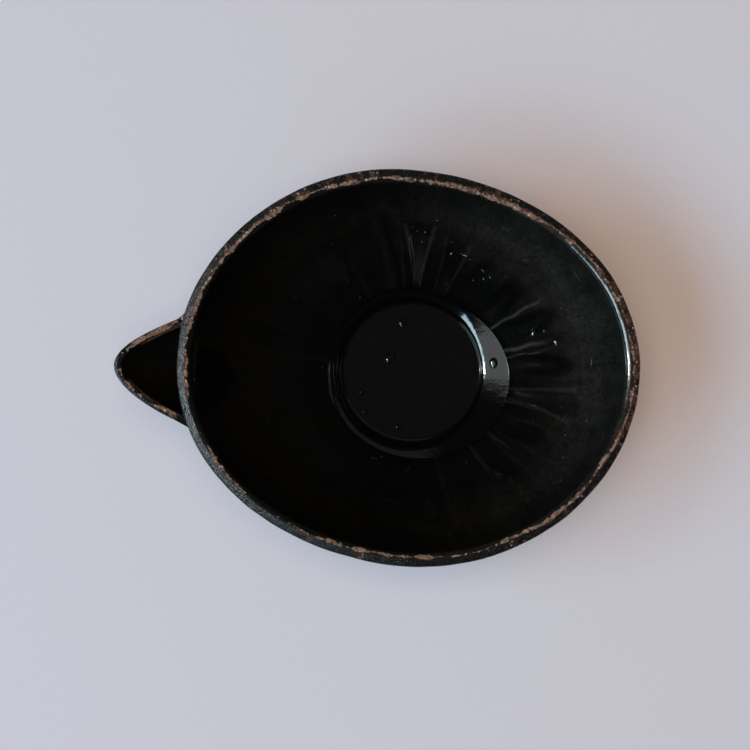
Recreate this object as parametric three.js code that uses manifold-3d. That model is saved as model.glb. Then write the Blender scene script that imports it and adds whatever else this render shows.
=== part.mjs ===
// A lipped pouring bowl in black-glazed stoneware. An oval bowl with a sunk well and a ring of gouged
// flutes, a beak-shaped spout luted over a hole below its rim, and a foot ring luted under it.
// Millimetres, +Z up: the spout points along -X, and the foot stands on z = 0.
import * as THREE from "three";
import { mergeVertices } from "three/addons/utils/BufferGeometryUtils.js";
import Module from "manifold-3d";

// The bowl's oval and its rim
const bowlLength = 150; // over the rim, the longer way of the oval
const bowlWidth = 128;
const bowlHeight = 64.4; // from the flat underside to the crest of the rim
const ovalTurn = -5.9; // degrees from X to the longer way
const handSway = 0.45; // how far the hand-made oval strays from a true one
const swayLobes = 4;
const swayTurn = 24.5;
const rimWidth = 4.5;
const crestInset = 1.5; // from the rim's inner edge to its crest
const crestRound = 0.9; // height of the rounding inside the crest
const bevelDrop = 2.4; // height of the bevel outside the crest

// The bowl's wall and well
const wellRadius = 30.4; // at the lip of the sunk well
const wellDepth = 4;
const wellFillet = 6.6; // from the flat floor of the well out to its lip
const baseThickness = 4.6; // under the well
const wallAtBase = 5.4;
const shelfRun = 6.2; // smooth shelf around the well, up to where the wall begins
const shelfRise = 1.9;
const floorRun = 11; // how far the wall first runs out at a slope before it turns up
const floorRise = 7;
const wallRise = 41; // how far it then runs up almost plumb to the rim
const wallLean = 2.5;
const seatRadius = 34; // flat underside that the foot is luted to
const coveRun = 6; // from the edge of that seat out to the wall proper

// The gouged flutes
const fluteCount = 22;
const fluteTurn = 85.8; // azimuth of one flute's middle line
const fluteRun = 21; // from the tips, at the shelf's outer edge, out to the steep stop
const fluteStop = 1.3; // run of the stop itself
const fluteDepth = 1.5; // at the stop
const fluteWide = 0.33; // half width at the stop, as a share of the pitch
const fluteNarrow = 0.2; // half width at the tip

// The spout and the hole behind it
const spoutAzimuth = 181;
const spoutYaw = -8.4; // it points a little to one side of the radius
const spoutReach = 21.7; // from the wall to the tip, at the spout's rim
const spoutWidth = 34.5; // over its roots
const spoutDepth = 33; // from its rim down to where the keel meets the wall
const spoutBelowRim = 7; // its rim lies this far below the bowl's, at the roots
const spoutRise = 3; // from the roots to the tip
const spoutWall = 2.6;
const keelWidth = 9; // where the keel meets the wall
const keelBelly = 0.5; // 0 for a straight keel, 1 for a full round one
const cheekRun = 0.46; // how far along the spout its sides stay almost straight
const leftCheek = 0.7; // how much of the root width is left there, on each side
const rightCheek = 0.79;
const noseWidth = 0.49; // width of the blunt nose, as a share of the root width
const holeLedge = 4.2; // wall left around the hole, inside the spout's roots
const holeBridge = 6.5; // band of wall between the hole and the rim's crest

// The foot ring and the two luting coils
const footRadius = 31.4; // outside, at the resting face
const footWidth = 6; // resting face and its roundings
const footHeight = 7.3;
const footFlare = 1.4; // how much wider it is at the seat
const footRound = 1.1;
const seamGap = 0.3; // slip joint between luted pieces
const spoutCoil = 4.8; // thickness of the clay coil around the spout's root
const footCoil = 4.2; // thickness of the coil around the foot

// Fineness of the faceted surfaces
const wellRings = 3;
const fluteRings = 5;
const wallRings = 6;
const crestRings = 2;
const bevelRings = 3;
const outsideRings = 9;
const outlineSteps = 7;
const spoutRings = 8;
const coilSides = 10;
const spoutCoilSteps = 30;
const roundSides = 66;

const glaze = { color: 0x0d0c0b, roughness: 0.12, metalness: 0 };
const bareClay = { color: 0x2b211c, roughness: 0.85, metalness: 0 };

const { degToRad, lerp } = THREE.MathUtils;
const wasm = await Module();
wasm.setup();

// The shared vertices of a closed mesh are merged, so that it becomes a solid.
function toSolid(geometry) {
  const bare = geometry.clone();
  bare.deleteAttribute("normal");
  bare.deleteAttribute("uv");
  const merged = mergeVertices(bare, 1e-4);
  const vertProperties = merged.getAttribute("position").array;
  const triVerts = new Uint32Array(merged.index.array);
  return new wasm.Manifold(new wasm.Mesh({ numProp: 3, vertProperties, triVerts }));
}

function toGeometry(solid) {
  const mesh = solid.getMesh();
  const geometry = new THREE.BufferGeometry();
  geometry.setAttribute("position", new THREE.BufferAttribute(mesh.vertProperties, 3));
  geometry.setIndex(new THREE.BufferAttribute(mesh.triVerts, 1));
  geometry.computeVertexNormals();
  return geometry;
}

function cutFrom(geometry, ...cutters) {
  return toGeometry(cutters.reduce((left, cutter) => left.subtract(toSolid(cutter)), toSolid(geometry)));
}

// Faces between two neighbouring closed sections of a skin, given their first points and their count.
function band(upper, lower, count) {
  const faces = [];
  for (let j = 0; j < count; j++) {
    const next = (j + 1) % count;
    faces.push(upper + j, lower + j, upper + next, upper + next, lower + j, lower + next);
  }
  return faces;
}

// Closed skin over a row of closed sections, each drawn anticlockwise seen from above.
// The sections run from the upper face down the outside, and each end is closed by a fan.
function skin(sections) {
  const count = sections[0].length;
  const last = sections.length - 1;
  const middle = (section) => section.reduce((sum, p) => sum.add(p), new THREE.Vector3()).divideScalar(count);
  const points = [...sections.flat(), middle(sections[0]), middle(sections[last])];
  const topMiddle = sections.length * count;
  const faces = sections.slice(1).flatMap((_, i) => band(i * count, (i + 1) * count, count));
  for (let j = 0; j < count; j++) {
    const next = (j + 1) % count;
    faces.push(topMiddle, j, next, topMiddle + 1, last * count + next, last * count + j);
  }
  return new THREE.BufferGeometry().setFromPoints(points).setIndex(faces);
}

// Skin over a loop of sections, such as the cross-sections around a ring.
function hoop(sections) {
  const count = sections[0].length;
  const faces = sections.flatMap((_, i) => band(i * count, ((i + 1) % sections.length) * count, count));
  return new THREE.BufferGeometry().setFromPoints(sections.flat()).setIndex(faces);
}

// The share along a curve where one coordinate, which only grows along it, reaches a value.
function shareWhere(pointAt, coordinate, value) {
  let low = 0;
  let high = 1;
  while (high - low > 1e-7) {
    const share = (low + high) / 2;
    if (pointAt(share)[coordinate] < value) low = share;
    else high = share;
  }
  return (low + high) / 2;
}

// The oval outline of the rim: an ellipse turned a little, with the sway of a hand-made pot.
function rimRadius(azimuth) {
  const turned = azimuth - degToRad(ovalTurn);
  const long = bowlLength / 2;
  const short = bowlWidth / 2;
  const ellipse = (long * short) / Math.hypot(short * Math.cos(turned), long * Math.sin(turned));
  return ellipse + handSway * Math.cos(swayLobes * (turned - degToRad(swayTurn)));
}

// The bowl is drawn as a section along its longer way. Each point of the section has a radius, a height and
// a share of the oval: 0 stays round, as at the well and the foot, and 1 follows the rim's oval.
function ovalRadius({ radius, oval }, azimuth) {
  return radius - (bowlLength / 2 - rimRadius(azimuth)) * oval;
}

const lipHeight = baseThickness + wellDepth;
const shelfRadius = wellRadius + shelfRun;
const shelfHeight = lipHeight + shelfRise;
const rimInner = bowlLength / 2 - rimWidth;
const rimEdge = bowlHeight - crestRound;
const insideCurve = new THREE.CubicBezierCurve(
  new THREE.Vector2(shelfRadius, shelfHeight),
  new THREE.Vector2(shelfRadius + floorRun, shelfHeight + floorRise),
  new THREE.Vector2(rimInner - wallLean, rimEdge - wallRise),
  new THREE.Vector2(rimInner, rimEdge),
);

// A point of the wall: on the inside at depth 0, and that far into the clay otherwise.
function wallPoint(share, depth = 0) {
  const { x, y } = insideCurve.getPoint(share);
  const along = insideCurve.getTangent(share);
  const oval = (x - wellRadius) / (rimInner - wellRadius);
  return { radius: x + along.y * depth, height: y - along.x * depth, oval };
}

// A point of the outside of the wall, or of a surface that much clear of it.
function outsidePoint(share, clear = 0) {
  return wallPoint(share, lerp(wallAtBase, rimWidth, share) + clear);
}

// Azimuths of the mesh's columns: one on the land between two flutes and five across each flute.
function columns(halfWidth) {
  const across = [-0.5, -halfWidth, -halfWidth / 2, 0, halfWidth / 2, halfWidth];
  const pitches = Array.from({ length: fluteCount }, (_, flute) => across.map((place) => flute + place));
  return pitches.flat().map((place) => ({
    azimuth: degToRad(fluteTurn) + (place * 2 * Math.PI) / fluteCount,
    across: (place - Math.round(place)) / halfWidth,
  }));
}

function place(point, azimuth) {
  const radius = ovalRadius(point, azimuth);
  return new THREE.Vector3(radius * Math.cos(azimuth), radius * Math.sin(azimuth), point.height);
}

function ring(point) {
  return columns(fluteWide).map(({ azimuth }) => place(point, azimuth));
}

// The well: a flat floor, and a fillet that steepens up to the lip.
function wellSections() {
  return Array.from({ length: wellRings }, (_, i) => {
    const turn = (i / wellRings) * (Math.PI / 2);
    const radius = wellRadius - wellFillet * Math.cos(turn);
    return ring({ radius, height: lipHeight - wellDepth * Math.cos(turn) ** 2, oval: 0 });
  });
}

// One ring through the flutes: scooped to the given share of their full depth and width.
function flutedRing(share, growth) {
  return columns(lerp(fluteNarrow, fluteWide, growth)).map(({ azimuth, across }) => {
    const scoop = fluteDepth * growth * Math.max(0, 1 - across ** 2);
    return place(wallPoint(share, scoop), azimuth);
  });
}

// The shelf, then the flutes: they start as points at its edge, widen and deepen outwards, and end at a stop.
function insideSections() {
  const shareAt = (radius) => shareWhere(wallPoint, "radius", radius);
  const end = shareAt(shelfRadius + fluteRun);
  const stop = shareAt(shelfRadius + fluteRun + fluteStop);
  const fluted = Array.from({ length: fluteRings + 1 }, (_, i) => flutedRing((end * i) / fluteRings, i / fluteRings));
  const plain = Array.from({ length: wallRings + 1 }, (_, i) => ring(wallPoint(lerp(stop, 1, i / wallRings))));
  return [ring({ radius: wellRadius, height: lipHeight, oval: 0 }), ...fluted, ...plain];
}

// The rim rounds over from its inner edge to the crest and falls as a bevel to the outside.
function rimSections() {
  const crest = rimInner + crestInset;
  const over = Array.from({ length: crestRings }, (_, i) => {
    const turn = ((i + 1) / crestRings) * (Math.PI / 2);
    const height = bowlHeight - crestRound * (1 - Math.sin(turn));
    return ring({ radius: crest - crestInset * Math.cos(turn), height, oval: 1 });
  });
  const bevel = Array.from({ length: bevelRings }, (_, i) => {
    const turn = ((i + 1) / bevelRings) * (Math.PI / 2);
    const radius = crest + (rimWidth - crestInset) * Math.sin(turn);
    return ring({ radius, height: bowlHeight - bevelDrop * (1 - Math.cos(turn)), oval: 1 });
  });
  return [...over, ...bevel];
}

// The outside of the wall below the bevel, then the cove and the flat underside.
function outsideSections(clear = 0) {
  const top = shareWhere(outsidePoint, "height", bowlHeight - 2 * bevelDrop);
  const bottom = shareWhere(outsidePoint, "radius", seatRadius + coveRun);
  const wall = Array.from({ length: outsideRings }, (_, i) =>
    ring(outsidePoint(lerp(top, bottom, i / (outsideRings - 1)), clear)),
  );
  return [...wall, ring({ radius: seatRadius + clear, height: -clear, oval: 0 })];
}

// The bowl without its hollow, somewhat larger all over: what a piece luted to it is cut with.
function bowlBlank(clear) {
  const above = bowlHeight * 2;
  return skin([ring({ radius: bowlLength / 2 + clear, height: above, oval: 1 }), ...outsideSections(clear)]);
}

// Where the outside of the wall is, at a height and an azimuth.
function outsideAt(height, azimuth) {
  return place(outsidePoint(shareWhere(outsidePoint, "height", height)), azimuth);
}

// The spout's own frame: on the outside of the wall at the height of its rim, with X along the spout.
const spoutTop = bowlHeight - spoutBelowRim;
const spoutOrigin = outsideAt(spoutTop, degToRad(spoutAzimuth));
const spoutHeading = degToRad(spoutAzimuth + spoutYaw);
const spoutFrame = new THREE.Matrix4().makeRotationZ(spoutHeading).setPosition(spoutOrigin);

// How far the wall has drawn back below the spout's frame, at a level of that frame.
function setback(level) {
  return spoutOrigin.length() - outsideAt(spoutTop + level, degToRad(spoutAzimuth)).setZ(spoutOrigin.z).length();
}

// Level and half width of the spout at its root, from the keel at share 0 to the rim at share 1.
function rootAt(share) {
  const level = -spoutDepth * (1 - share);
  const half = lerp(keelWidth, spoutWidth, Math.sin((share * Math.PI) / 2)) / 2;
  return { level, half, back: -setback(level) };
}

// One level outline of the spout, drawn that much inside its outer surface.
function spoutOutline(share, inset = 0, lift = 0) {
  const root = rootAt(share);
  const half = root.half - inset;
  const keel = lerp(share, Math.sin((share * Math.PI) / 2), keelBelly);
  const tip = lerp(rootAt(0).back, spoutReach, keel) - inset;
  const cheek = root.back + (tip - root.back) * cheekRun;
  const buried = root.back - 2 * wallAtBase;
  const outline = new THREE.Shape()
    .moveTo(buried, -half)
    .lineTo(root.back, -half)
    .bezierCurveTo(cheek, -half * leftCheek, tip, -half * noseWidth, tip, 0)
    .bezierCurveTo(tip, half * noseWidth, cheek, half * rightCheek, root.back, half)
    .lineTo(buried, half);
  const slope = (spoutRise / spoutReach) * share;
  const level = root.level + inset * (1 - share) + lift;
  return outline.getPoints(outlineSteps).map(({ x, y }) => new THREE.Vector3(x, y, level + slope * x));
}

function spoutBody(inset = 0) {
  return Array.from({ length: spoutRings + 1 }, (_, i) => spoutOutline(1 - i / spoutRings, inset));
}

// A beak: the body less its open channel and less the bowl that it is luted to.
function spoutGeometry() {
  const channel = skin([spoutOutline(1, spoutWall, spoutDepth), ...spoutBody(spoutWall)]);
  const bowl = bowlBlank(seamGap).applyMatrix4(spoutFrame.clone().invert());
  return cutFrom(skin(spoutBody()), channel, bowl);
}

// The oval hole through the wall, inside the spout's roots and above the floor of its channel.
function pourHole() {
  const bottom = -spoutDepth + spoutWall + holeLedge / 2;
  const top = spoutBelowRim - holeBridge;
  const halfWidth = spoutWidth / 2 - spoutWall - holeLedge;
  const oval = new THREE.Shape().absellipse(0, (top + bottom) / 2, halfWidth, (top - bottom) / 2, 0, 2 * Math.PI);
  const through = setback(bottom) + 4 * wallAtBase;
  const [x, y, z] = [new THREE.Vector3(1, 0, 0), new THREE.Vector3(0, 1, 0), new THREE.Vector3(0, 0, 1)];
  return new THREE.ExtrudeGeometry(oval, { depth: through, bevelEnabled: false, curveSegments: 2 * coilSides })
    .translate(0, 0, 2 * wallAtBase - through)
    .applyMatrix4(new THREE.Matrix4().makeBasis(y, z, x))
    .applyMatrix4(spoutFrame);
}

function bowlGeometry() {
  const body = skin([...wellSections(), ...insideSections(), ...rimSections(), ...outsideSections()]);
  return cutFrom(body, pourHole());
}

// Where the spout's outer surface meets the wall, in the bowl's frame.
function seamPoint(share, side) {
  const { level, half, back } = rootAt(share);
  const root = new THREE.Vector3(back, side * half, level).applyMatrix4(spoutFrame);
  return outsideAt(root.z, Math.atan2(root.y, root.x));
}

// The coil runs down one root of the spout, under its keel and up the other, and fills the corner.
function spoutCoilGeometry() {
  const shares = Array.from({ length: spoutRings + 1 }, (_, i) => 1 - i / spoutRings);
  const down = shares.map((share) => seamPoint(share, 1));
  const up = shares.map((share) => seamPoint(share, -1)).reverse();
  const path = new THREE.CatmullRomCurve3([...down, ...up]);
  const section = new THREE.Shape().absarc(0, 0, spoutCoil / 2, 0, 2 * Math.PI);
  const options = { extrudePath: path, steps: spoutCoilSteps, curveSegments: coilSides / 2, bevelEnabled: false };
  const coil = new THREE.ExtrudeGeometry(section, options);
  const spout = skin([spoutOutline(1, -seamGap, spoutDepth), ...spoutBody(-seamGap)]).applyMatrix4(spoutFrame);
  return cutFrom(coil, bowlBlank(seamGap), spout);
}

// A turned ring that widens up to its seat, with a rounded resting edge.
function footGeometry() {
  const inner = footRadius - footWidth;
  const section = new THREE.Path()
    .moveTo(inner, footRound)
    .quadraticCurveTo(inner, 0, inner + footRound, 0)
    .lineTo(footRadius - footRound, 0)
    .quadraticCurveTo(footRadius, 0, footRadius, footRound)
    .lineTo(footRadius + footFlare, footHeight)
    .lineTo(inner, footHeight)
    .lineTo(inner, footRound);
  const points = section.getPoints(crestRings);
  return new THREE.LatheGeometry(points, roundSides).rotateX(Math.PI / 2);
}

const bowlLift = footHeight + seamGap;

// The cross-section of the foot's coil at one azimuth: it fills the corner between the ring's outer face and
// the bowl's underside, and its own face swells a little.
function footCoilSection(azimuth) {
  const toe = footHeight - footCoil;
  const ringAt = (height) => footRadius + (footFlare * height) / footHeight + seamGap;
  const seat = { radius: seatRadius, height: footHeight, oval: 0 };
  const wall = outsidePoint(shareWhere(outsidePoint, "radius", seatRadius + coveRun));
  const up = footCoil / coveRun / 2;
  const edge = {
    radius: lerp(seat.radius, wall.radius, up),
    height: lerp(seat.height, wall.height + bowlLift, up) - seamGap,
    oval: wall.oval * up,
  };
  const swell = {
    radius: lerp(ringAt(toe), edge.radius, 0.5) + footCoil / 8,
    height: lerp(toe, edge.height, 0.5),
    oval: edge.oval / 2,
  };
  const corner = { radius: ringAt(footHeight), height: footHeight, oval: 0 };
  return [{ radius: ringAt(toe), height: toe, oval: 0 }, swell, edge, seat, corner].map((p) => place(p, azimuth));
}

function footCoilGeometry() {
  const azimuths = Array.from({ length: roundSides }, (_, i) => (i * 2 * Math.PI) / roundSides);
  return hoop(azimuths.map(footCoilSection));
}

function mesh(name, geometry, finish) {
  const made = new THREE.Mesh(geometry, new THREE.MeshStandardMaterial(finish));
  made.name = name;
  return made;
}

// The spout and its coil are placed with the bowl, and all three stand on the foot.
const bowlGroup = new THREE.Group();
bowlGroup.position.z = bowlLift;
const spoutGroup = new THREE.Group();
spoutGroup.applyMatrix4(spoutFrame);
spoutGroup.add(mesh("spout", spoutGeometry(), glaze));
bowlGroup.add(mesh("bowl", bowlGeometry(), glaze));
bowlGroup.add(mesh("spout_seam_coil", spoutCoilGeometry(), glaze));
bowlGroup.add(spoutGroup);

const vessel = new THREE.Group();
vessel.add(bowlGroup);
vessel.add(mesh("foot_ring", footGeometry(), bareClay));
vessel.add(mesh("foot_seam_coil", footCoilGeometry(), glaze));

// The origin is under the middle of the whole length and width.
vessel.updateMatrixWorld(true);
const middle = new THREE.Box3().setFromObject(vessel, true).getCenter(new THREE.Vector3());
vessel.position.set(-middle.x, -middle.y, 0);

const lippedBowl = new THREE.Group();
lippedBowl.add(vessel);

export default lippedBowl;
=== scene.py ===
# A lipped pouring bowl in black iron glaze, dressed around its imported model.
# Metres, +Z up, the spout towards -X. Sizes in the dictionaries are in millimetres and degrees, unless a
# comment there says otherwise.
import math

import bpy
import numpy as np
from mathutils import Matrix, Vector, noise


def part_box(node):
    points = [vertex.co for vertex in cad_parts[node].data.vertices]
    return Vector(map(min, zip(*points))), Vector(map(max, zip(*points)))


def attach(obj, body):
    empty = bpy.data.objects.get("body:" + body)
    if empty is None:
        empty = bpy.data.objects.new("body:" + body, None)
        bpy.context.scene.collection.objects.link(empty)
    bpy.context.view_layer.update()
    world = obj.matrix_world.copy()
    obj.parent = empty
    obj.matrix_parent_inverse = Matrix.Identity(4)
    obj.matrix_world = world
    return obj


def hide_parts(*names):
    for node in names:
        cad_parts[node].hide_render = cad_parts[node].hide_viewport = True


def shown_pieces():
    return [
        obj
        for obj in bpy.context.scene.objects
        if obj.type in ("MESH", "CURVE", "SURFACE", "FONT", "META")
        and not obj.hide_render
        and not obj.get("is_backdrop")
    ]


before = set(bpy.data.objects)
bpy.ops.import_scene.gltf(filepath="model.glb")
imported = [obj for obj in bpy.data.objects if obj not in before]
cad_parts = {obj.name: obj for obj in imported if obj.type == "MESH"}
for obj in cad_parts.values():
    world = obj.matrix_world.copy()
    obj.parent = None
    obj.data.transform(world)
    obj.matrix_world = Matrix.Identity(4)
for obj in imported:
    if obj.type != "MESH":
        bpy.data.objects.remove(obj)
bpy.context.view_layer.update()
print("frame loaded")

mm = 0.001
fullTurn = 2 * math.pi

footLow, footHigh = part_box("foot_ring")
bowlLow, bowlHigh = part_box("bowl")
axis = Vector(((footLow.x + footHigh.x) / 2, (footLow.y + footHigh.y) / 2, 0))
seatHeight = bowlLow.z / mm  # underside of the bowl
crestHeight = bowlHigh.z / mm

bowl = {
    "length": 150,
    "width": 128,
    "turn": -5.9,  # from X to the longer way of the oval
    "sway": 0.45,
    "swayLobes": 4,
    "swayTurn": 24.5,
    "rim": 4.5,
    "crestInset": 1.5,
    "crestRound": 0.9,
    "crestLean": 25,  # slope of the crest towards the inside
    "bevelDrop": 2.4,
    "bevelLean": 19,  # slope of the bevel, and the rounding of its outer edge
    "bevelEdge": 0.75,
    "well": 30.4,
    "wellDepth": 4,
    "wellFillet": 6.6,
    # On the right and on the left: how far out its floor ends, the hollow where its side leaves the floor,
    # how far out the steep side goes, and how wide it turns into the slope to the lip
    "wellOut": (0.7, 0),
    "wellHollow": (0.25, 2.6),
    "wellSide": (1.3, 3.6),
    "wellShoulder": (1.5, 0.6),
    "wellWedge": (47, 13, 1.7),  # azimuth where the shoulder is widest, over what angle, and by how much
    "base": 4.6,
    "wallAtBase": 5.4,
    "shelfRun": 6.2,
    "shelfRise": 1.9,
    "shelfFade": 15,  # over how much of the wall the shelf's uneven edge dies away
    "shelfLeast": 0.6,  # least width of the shelf beyond the shoulder of the well
    # Above the shelf: the least slope of the wall, how much more it is at one azimuth, and how softly
    # it sets in
    "leastSlope": 0.54,
    "moreSlope": 0.15,
    "slopeTowards": 35,
    "slopeSoft": 0.2,
    "floorRun": 11,
    "floorRise": 7,
    "wallRise": 41,
    "wallLean": 2.5,
    "seat": 34,
    "cove": 6,
    "columns": 528,
    "gridStep": 4,  # every so many columns for the ground that beads are strewn on
    "handHeight": 0.3,  # rise and fall of the rim
    "handSurface": 0.22,  # unevenness of the walls
}

flutes = {
    "count": 22,
    "turn": 85.8,
    "run": 21,
    "startLong": 31.7,  # the oval round the well where they start, and how far it is off the middle
    "startShort": 28.2,
    "startShift": (3.2, -2.5),
    "stop": 1.6,  # length of the end of the clean one, and of the others, which die away
    "softStop": 9,
    "depth": 1.35,
    "softDepth": 0.62,
    "strength": (  # by azimuth
        (0, 30, 50, 70, 110, 180, 240, 300, 340, 360),
        (1, 0.9, 0.5, 0.8, 0.7, 0.6, 0.4, 0.5, 0.9, 1),
    ),
    "wide": 0.37,  # half of its width where it stops, as a share of the pitch
    "narrow": 0.1,
    "softWide": 0.3,
    "softNarrow": 0.44,
    "vary": 0.45,  # how much depth, width and length differ from flute to flute
    "drift": 2.2,  # degrees that one may be off its place
    "early": 0.8,  # how far before the shelf's edge they start
    "bow": 3.5,  # how far the middle of a soft end reaches beyond its sides
    "wander": 0.06,
    "seed": 7,
    # flutes that are clearer than most: number, length and how clear
    "clear": ((16, 1.0, 0.8), (15, 0.5, 0.3), (14, 0.9, 0.25), (21, 0.6, 0.6)),
    # how much paler the upper wall is painted, by azimuth: painted light, palest on the right, where the wall
    # faces the lamps
    "litSidePaleness": (
        (0, 30, 45, 60, 75, 90, 105, 135, 150, 195, 240, 270, 285, 315, 330, 345, 360),
        (1, 1.05, 1.05, 0.95, 0.6, 0.42, 0.3, 0.24, 0.17, 0.17, 0.24, 0.28, 0.4, 0.52, 0.68, 0.9, 1),
    ),
    # and how pale the upper wall is by distance from the axis
    "paleUpward": ((36, 41, 46, 52, 57, 63, 70), (0, 0, 0.04, 0.14, 0.3, 0.7, 0.62)),
    # painted highlight streaks along ridges, where they catch the light: azimuth, half width, how far along,
    # and how pale
    "ridgeHighlights": (
        (28.5, 0.4, 0.7, 1.2), (12.2, 0.6, 0.4, 1.1), (8.5, 0.25, 0.45, 0.8), (-17, 0.3, 0.2, 0.4),
        (-38, 0.5, 0.3, 0.25), (-52, 0.5, 0.5, 0.2), (-74, 0.7, 0.8, 0.1), (94, 0.5, 0.9, 0.1),
        (102, 1.6, 0.8, 0.1), (118, 0.8, 0.6, 0.06), (172, 0.7, 0.9, 0.06),
    ),
}

spout = {
    "azimuth": 181,
    "yaw": -8.4,
    "reach": 21.7,
    "width": 35.1,
    "shift": 1.75,  # how much further its left cheek starts from its middle than the right one
    "flare": 2.3,  # how much the cheeks spread where they meet the wall, and over what length
    "flareRun": 4,
    "depth": 33,
    "belowRim": 7,
    "rise": 3,
    "wall": 2.6,
    "keelWidth": 9,
    "keelBelly": 0.5,
    "leftRun": 0.39,
    "rightRun": 0.46,
    "leftCheek": 0.725,
    "rightCheek": 0.797,
    "leftNose": 0.373,
    "rightNose": 0.405,
    "rightSlope": 0.4,  # how the right cheek runs on into the wall
    "steps": 40,  # points along each cheek
    "layers": 44,
    "crestInset": 1.8,  # from the outside to the crest of its rim, and how the rim falls away outside
    "bevelLean": 11,
    "innerRound": 0.6,
    "outerRound": 0.45,
    "buried": 1.5,  # how deep its root goes into the wall
}

# The wall left inside the spout's root and below the rim, half the width, and the rounding of the edges
hole = {"ledge": 4.2, "bridge": 6.5, "halfWidth": 8.6, "edge": 1.6, "around": 120}


# Shapes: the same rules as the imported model's, with many more points

lipHeight = seatHeight + bowl["base"] + bowl["wellDepth"]
shelfRadius = bowl["well"] + bowl["shelfRun"]
shelfHeight = lipHeight + bowl["shelfRise"]
rimInner = bowl["length"] / 2 - bowl["rim"]
rimEdge = crestHeight - bowl["crestRound"]


def mix(a, b, share):
    return a + (b - a) * share


def ease(share):
    share = np.clip(share, 0, 1)
    return share * share * (3 - 2 * share)


def rimRadius(azimuth):
    turned = azimuth - math.radians(bowl["turn"])
    long, short = bowl["length"] / 2, bowl["width"] / 2
    ellipse = long * short / np.hypot(short * np.cos(turned), long * np.sin(turned))
    return ellipse + bowl["sway"] * np.cos(bowl["swayLobes"] * (turned - math.radians(bowl["swayTurn"])))


def insideCurve(share):
    xs = (shelfRadius, shelfRadius + bowl["floorRun"], rimInner - bowl["wallLean"], rimInner)
    ys = (shelfHeight, shelfHeight + bowl["floorRise"], rimEdge - bowl["wallRise"], rimEdge)
    far = 1 - share
    point = (far**3, 3 * far**2 * share, 3 * far * share**2, share**3)
    slope = (-(far**2), far**2 - 2 * far * share, 2 * far * share - share**2, share**2)
    x, y = (sum(w * v for w, v in zip(point, vs)) for vs in (xs, ys))
    dx, dy = (sum(w * v for w, v in zip(slope, vs)) for vs in (xs, ys))
    size = np.hypot(dx, dy)
    return x, y, dx / size, dy / size


def wallPoint(share, depth=0.0):
    x, y, dx, dy = insideCurve(share)
    return x + dy * depth, y - dx * depth, (x - bowl["well"]) / (rimInner - bowl["well"])


def outsidePoint(share, clear=0.0):
    return wallPoint(share, mix(bowl["wallAtBase"], bowl["rim"], share) + clear)


# Shares along the wall, from a radius or a height
fineShares = np.linspace(0, 1, 2001)
insideTable = wallPoint(fineShares)
outsideTable = outsidePoint(fineShares)


def ovalRadius(radius, oval, azimuth):
    return radius - (bowl["length"] / 2 - rimRadius(azimuth)) * oval


def wallRadius(height, azimuth, table):
    radius = np.interp(height, table[1], table[0])
    oval = np.interp(height, table[1], table[2])
    return ovalRadius(radius, oval, azimuth)


def polar(radius, azimuth, height):
    x, y = radius * np.cos(azimuth), radius * np.sin(azimuth)
    return np.stack([x, y, np.broadcast_to(height, radius.shape)], -1)


def addObject(name, data):
    made = bpy.data.objects.new(name, data)
    bpy.context.collection.objects.link(made)
    return made


def makeMesh(name, points, faces):
    # Points are in millimetres from the bowl's axis, on the surface that the foot stands on.
    mesh = bpy.data.meshes.new(name)
    mesh.from_pydata((np.asarray(points) * mm + np.array(axis)).tolist(), [], faces)
    mesh.shade_smooth()
    return addObject(name, mesh)


def skin(rows):
    # Closed skin over closed rows, from the upper face down the outside, with a fan at each end.
    rows = np.asarray(rows)
    count, size = rows.shape[:2]
    ends = [rows[0].mean(0), rows[-1].mean(0)]
    points = np.concatenate([rows.reshape(-1, 3), ends])
    here = np.arange(size)
    after = (here + 1) % size
    faces = []
    for row in range(count - 1):
        top, low = row * size, (row + 1) * size
        faces += np.stack([top + here, low + here, low + after, top + after], 1).tolist()
    middle, last = count * size, (count - 1) * size
    faces += np.stack([np.full(size, middle), here, after], 1).tolist()
    faces += np.stack([np.full(size, middle + 1), last + after, last + here], 1).tolist()
    return points, faces


def cutWith(piece, cutter, operation="DIFFERENCE"):
    cut = piece.modifiers.new("cut", "BOOLEAN")
    cut.solver = "MANIFOLD"
    cut.operation = operation
    cut.object = cutter
    bpy.context.view_layer.update()
    evaluated = piece.evaluated_get(bpy.context.evaluated_depsgraph_get())
    result = bpy.data.meshes.new_from_object(evaluated)
    piece.modifiers.remove(cut)
    old = piece.data
    piece.data = result
    bpy.data.meshes.remove(old)
    result.name = piece.name
    result.shade_smooth()
    bpy.data.objects.remove(cutter)


def handNoise(points, size, seed):
    # Smooth unevenness between -1 and 1 for each point, with bumps of about that size in millimetres.
    shift = Vector((seed * 17.3, seed * 5.1, seed * 9.7))
    values = [noise.noise(Vector(p) / size + shift) for p in points.reshape(-1, 3)]
    return np.array(values).reshape(points.shape[:-1])


# The bowl

azimuths = np.arange(bowl["columns"]) / bowl["columns"] * fullTurn


def even(value):
    # The same value at every azimuth.
    return np.full(azimuths.shape, value)


def fluteStart(azimuth):
    # Distance from the axis to the oval where the flutes start.
    x, y = flutes["startShift"]
    long, short = flutes["startLong"], flutes["startShort"]
    c, s = np.cos(azimuth), np.sin(azimuth)
    a = (c / long) ** 2 + (s / short) ** 2
    b = c * x / long**2 + s * y / short**2
    return (b + np.sqrt(b * b - a * ((x / long) ** 2 + (y / short) ** 2 - 1))) / a


def atWell(azimuth, pair):
    # Between the two values for the right and the left side of the well.
    return mix(*pair, ease(0.9 - 0.9 * np.cos(azimuth - math.radians(20))))


def wellShoulder(azimuth):
    at, spread, more = bowl["wellWedge"]
    away = (np.degrees(azimuth) - at + 180) % 360 - 180
    return atWell(azimuth, bowl["wellShoulder"]) + more * np.exp(-((away / spread) ** 2))


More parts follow.
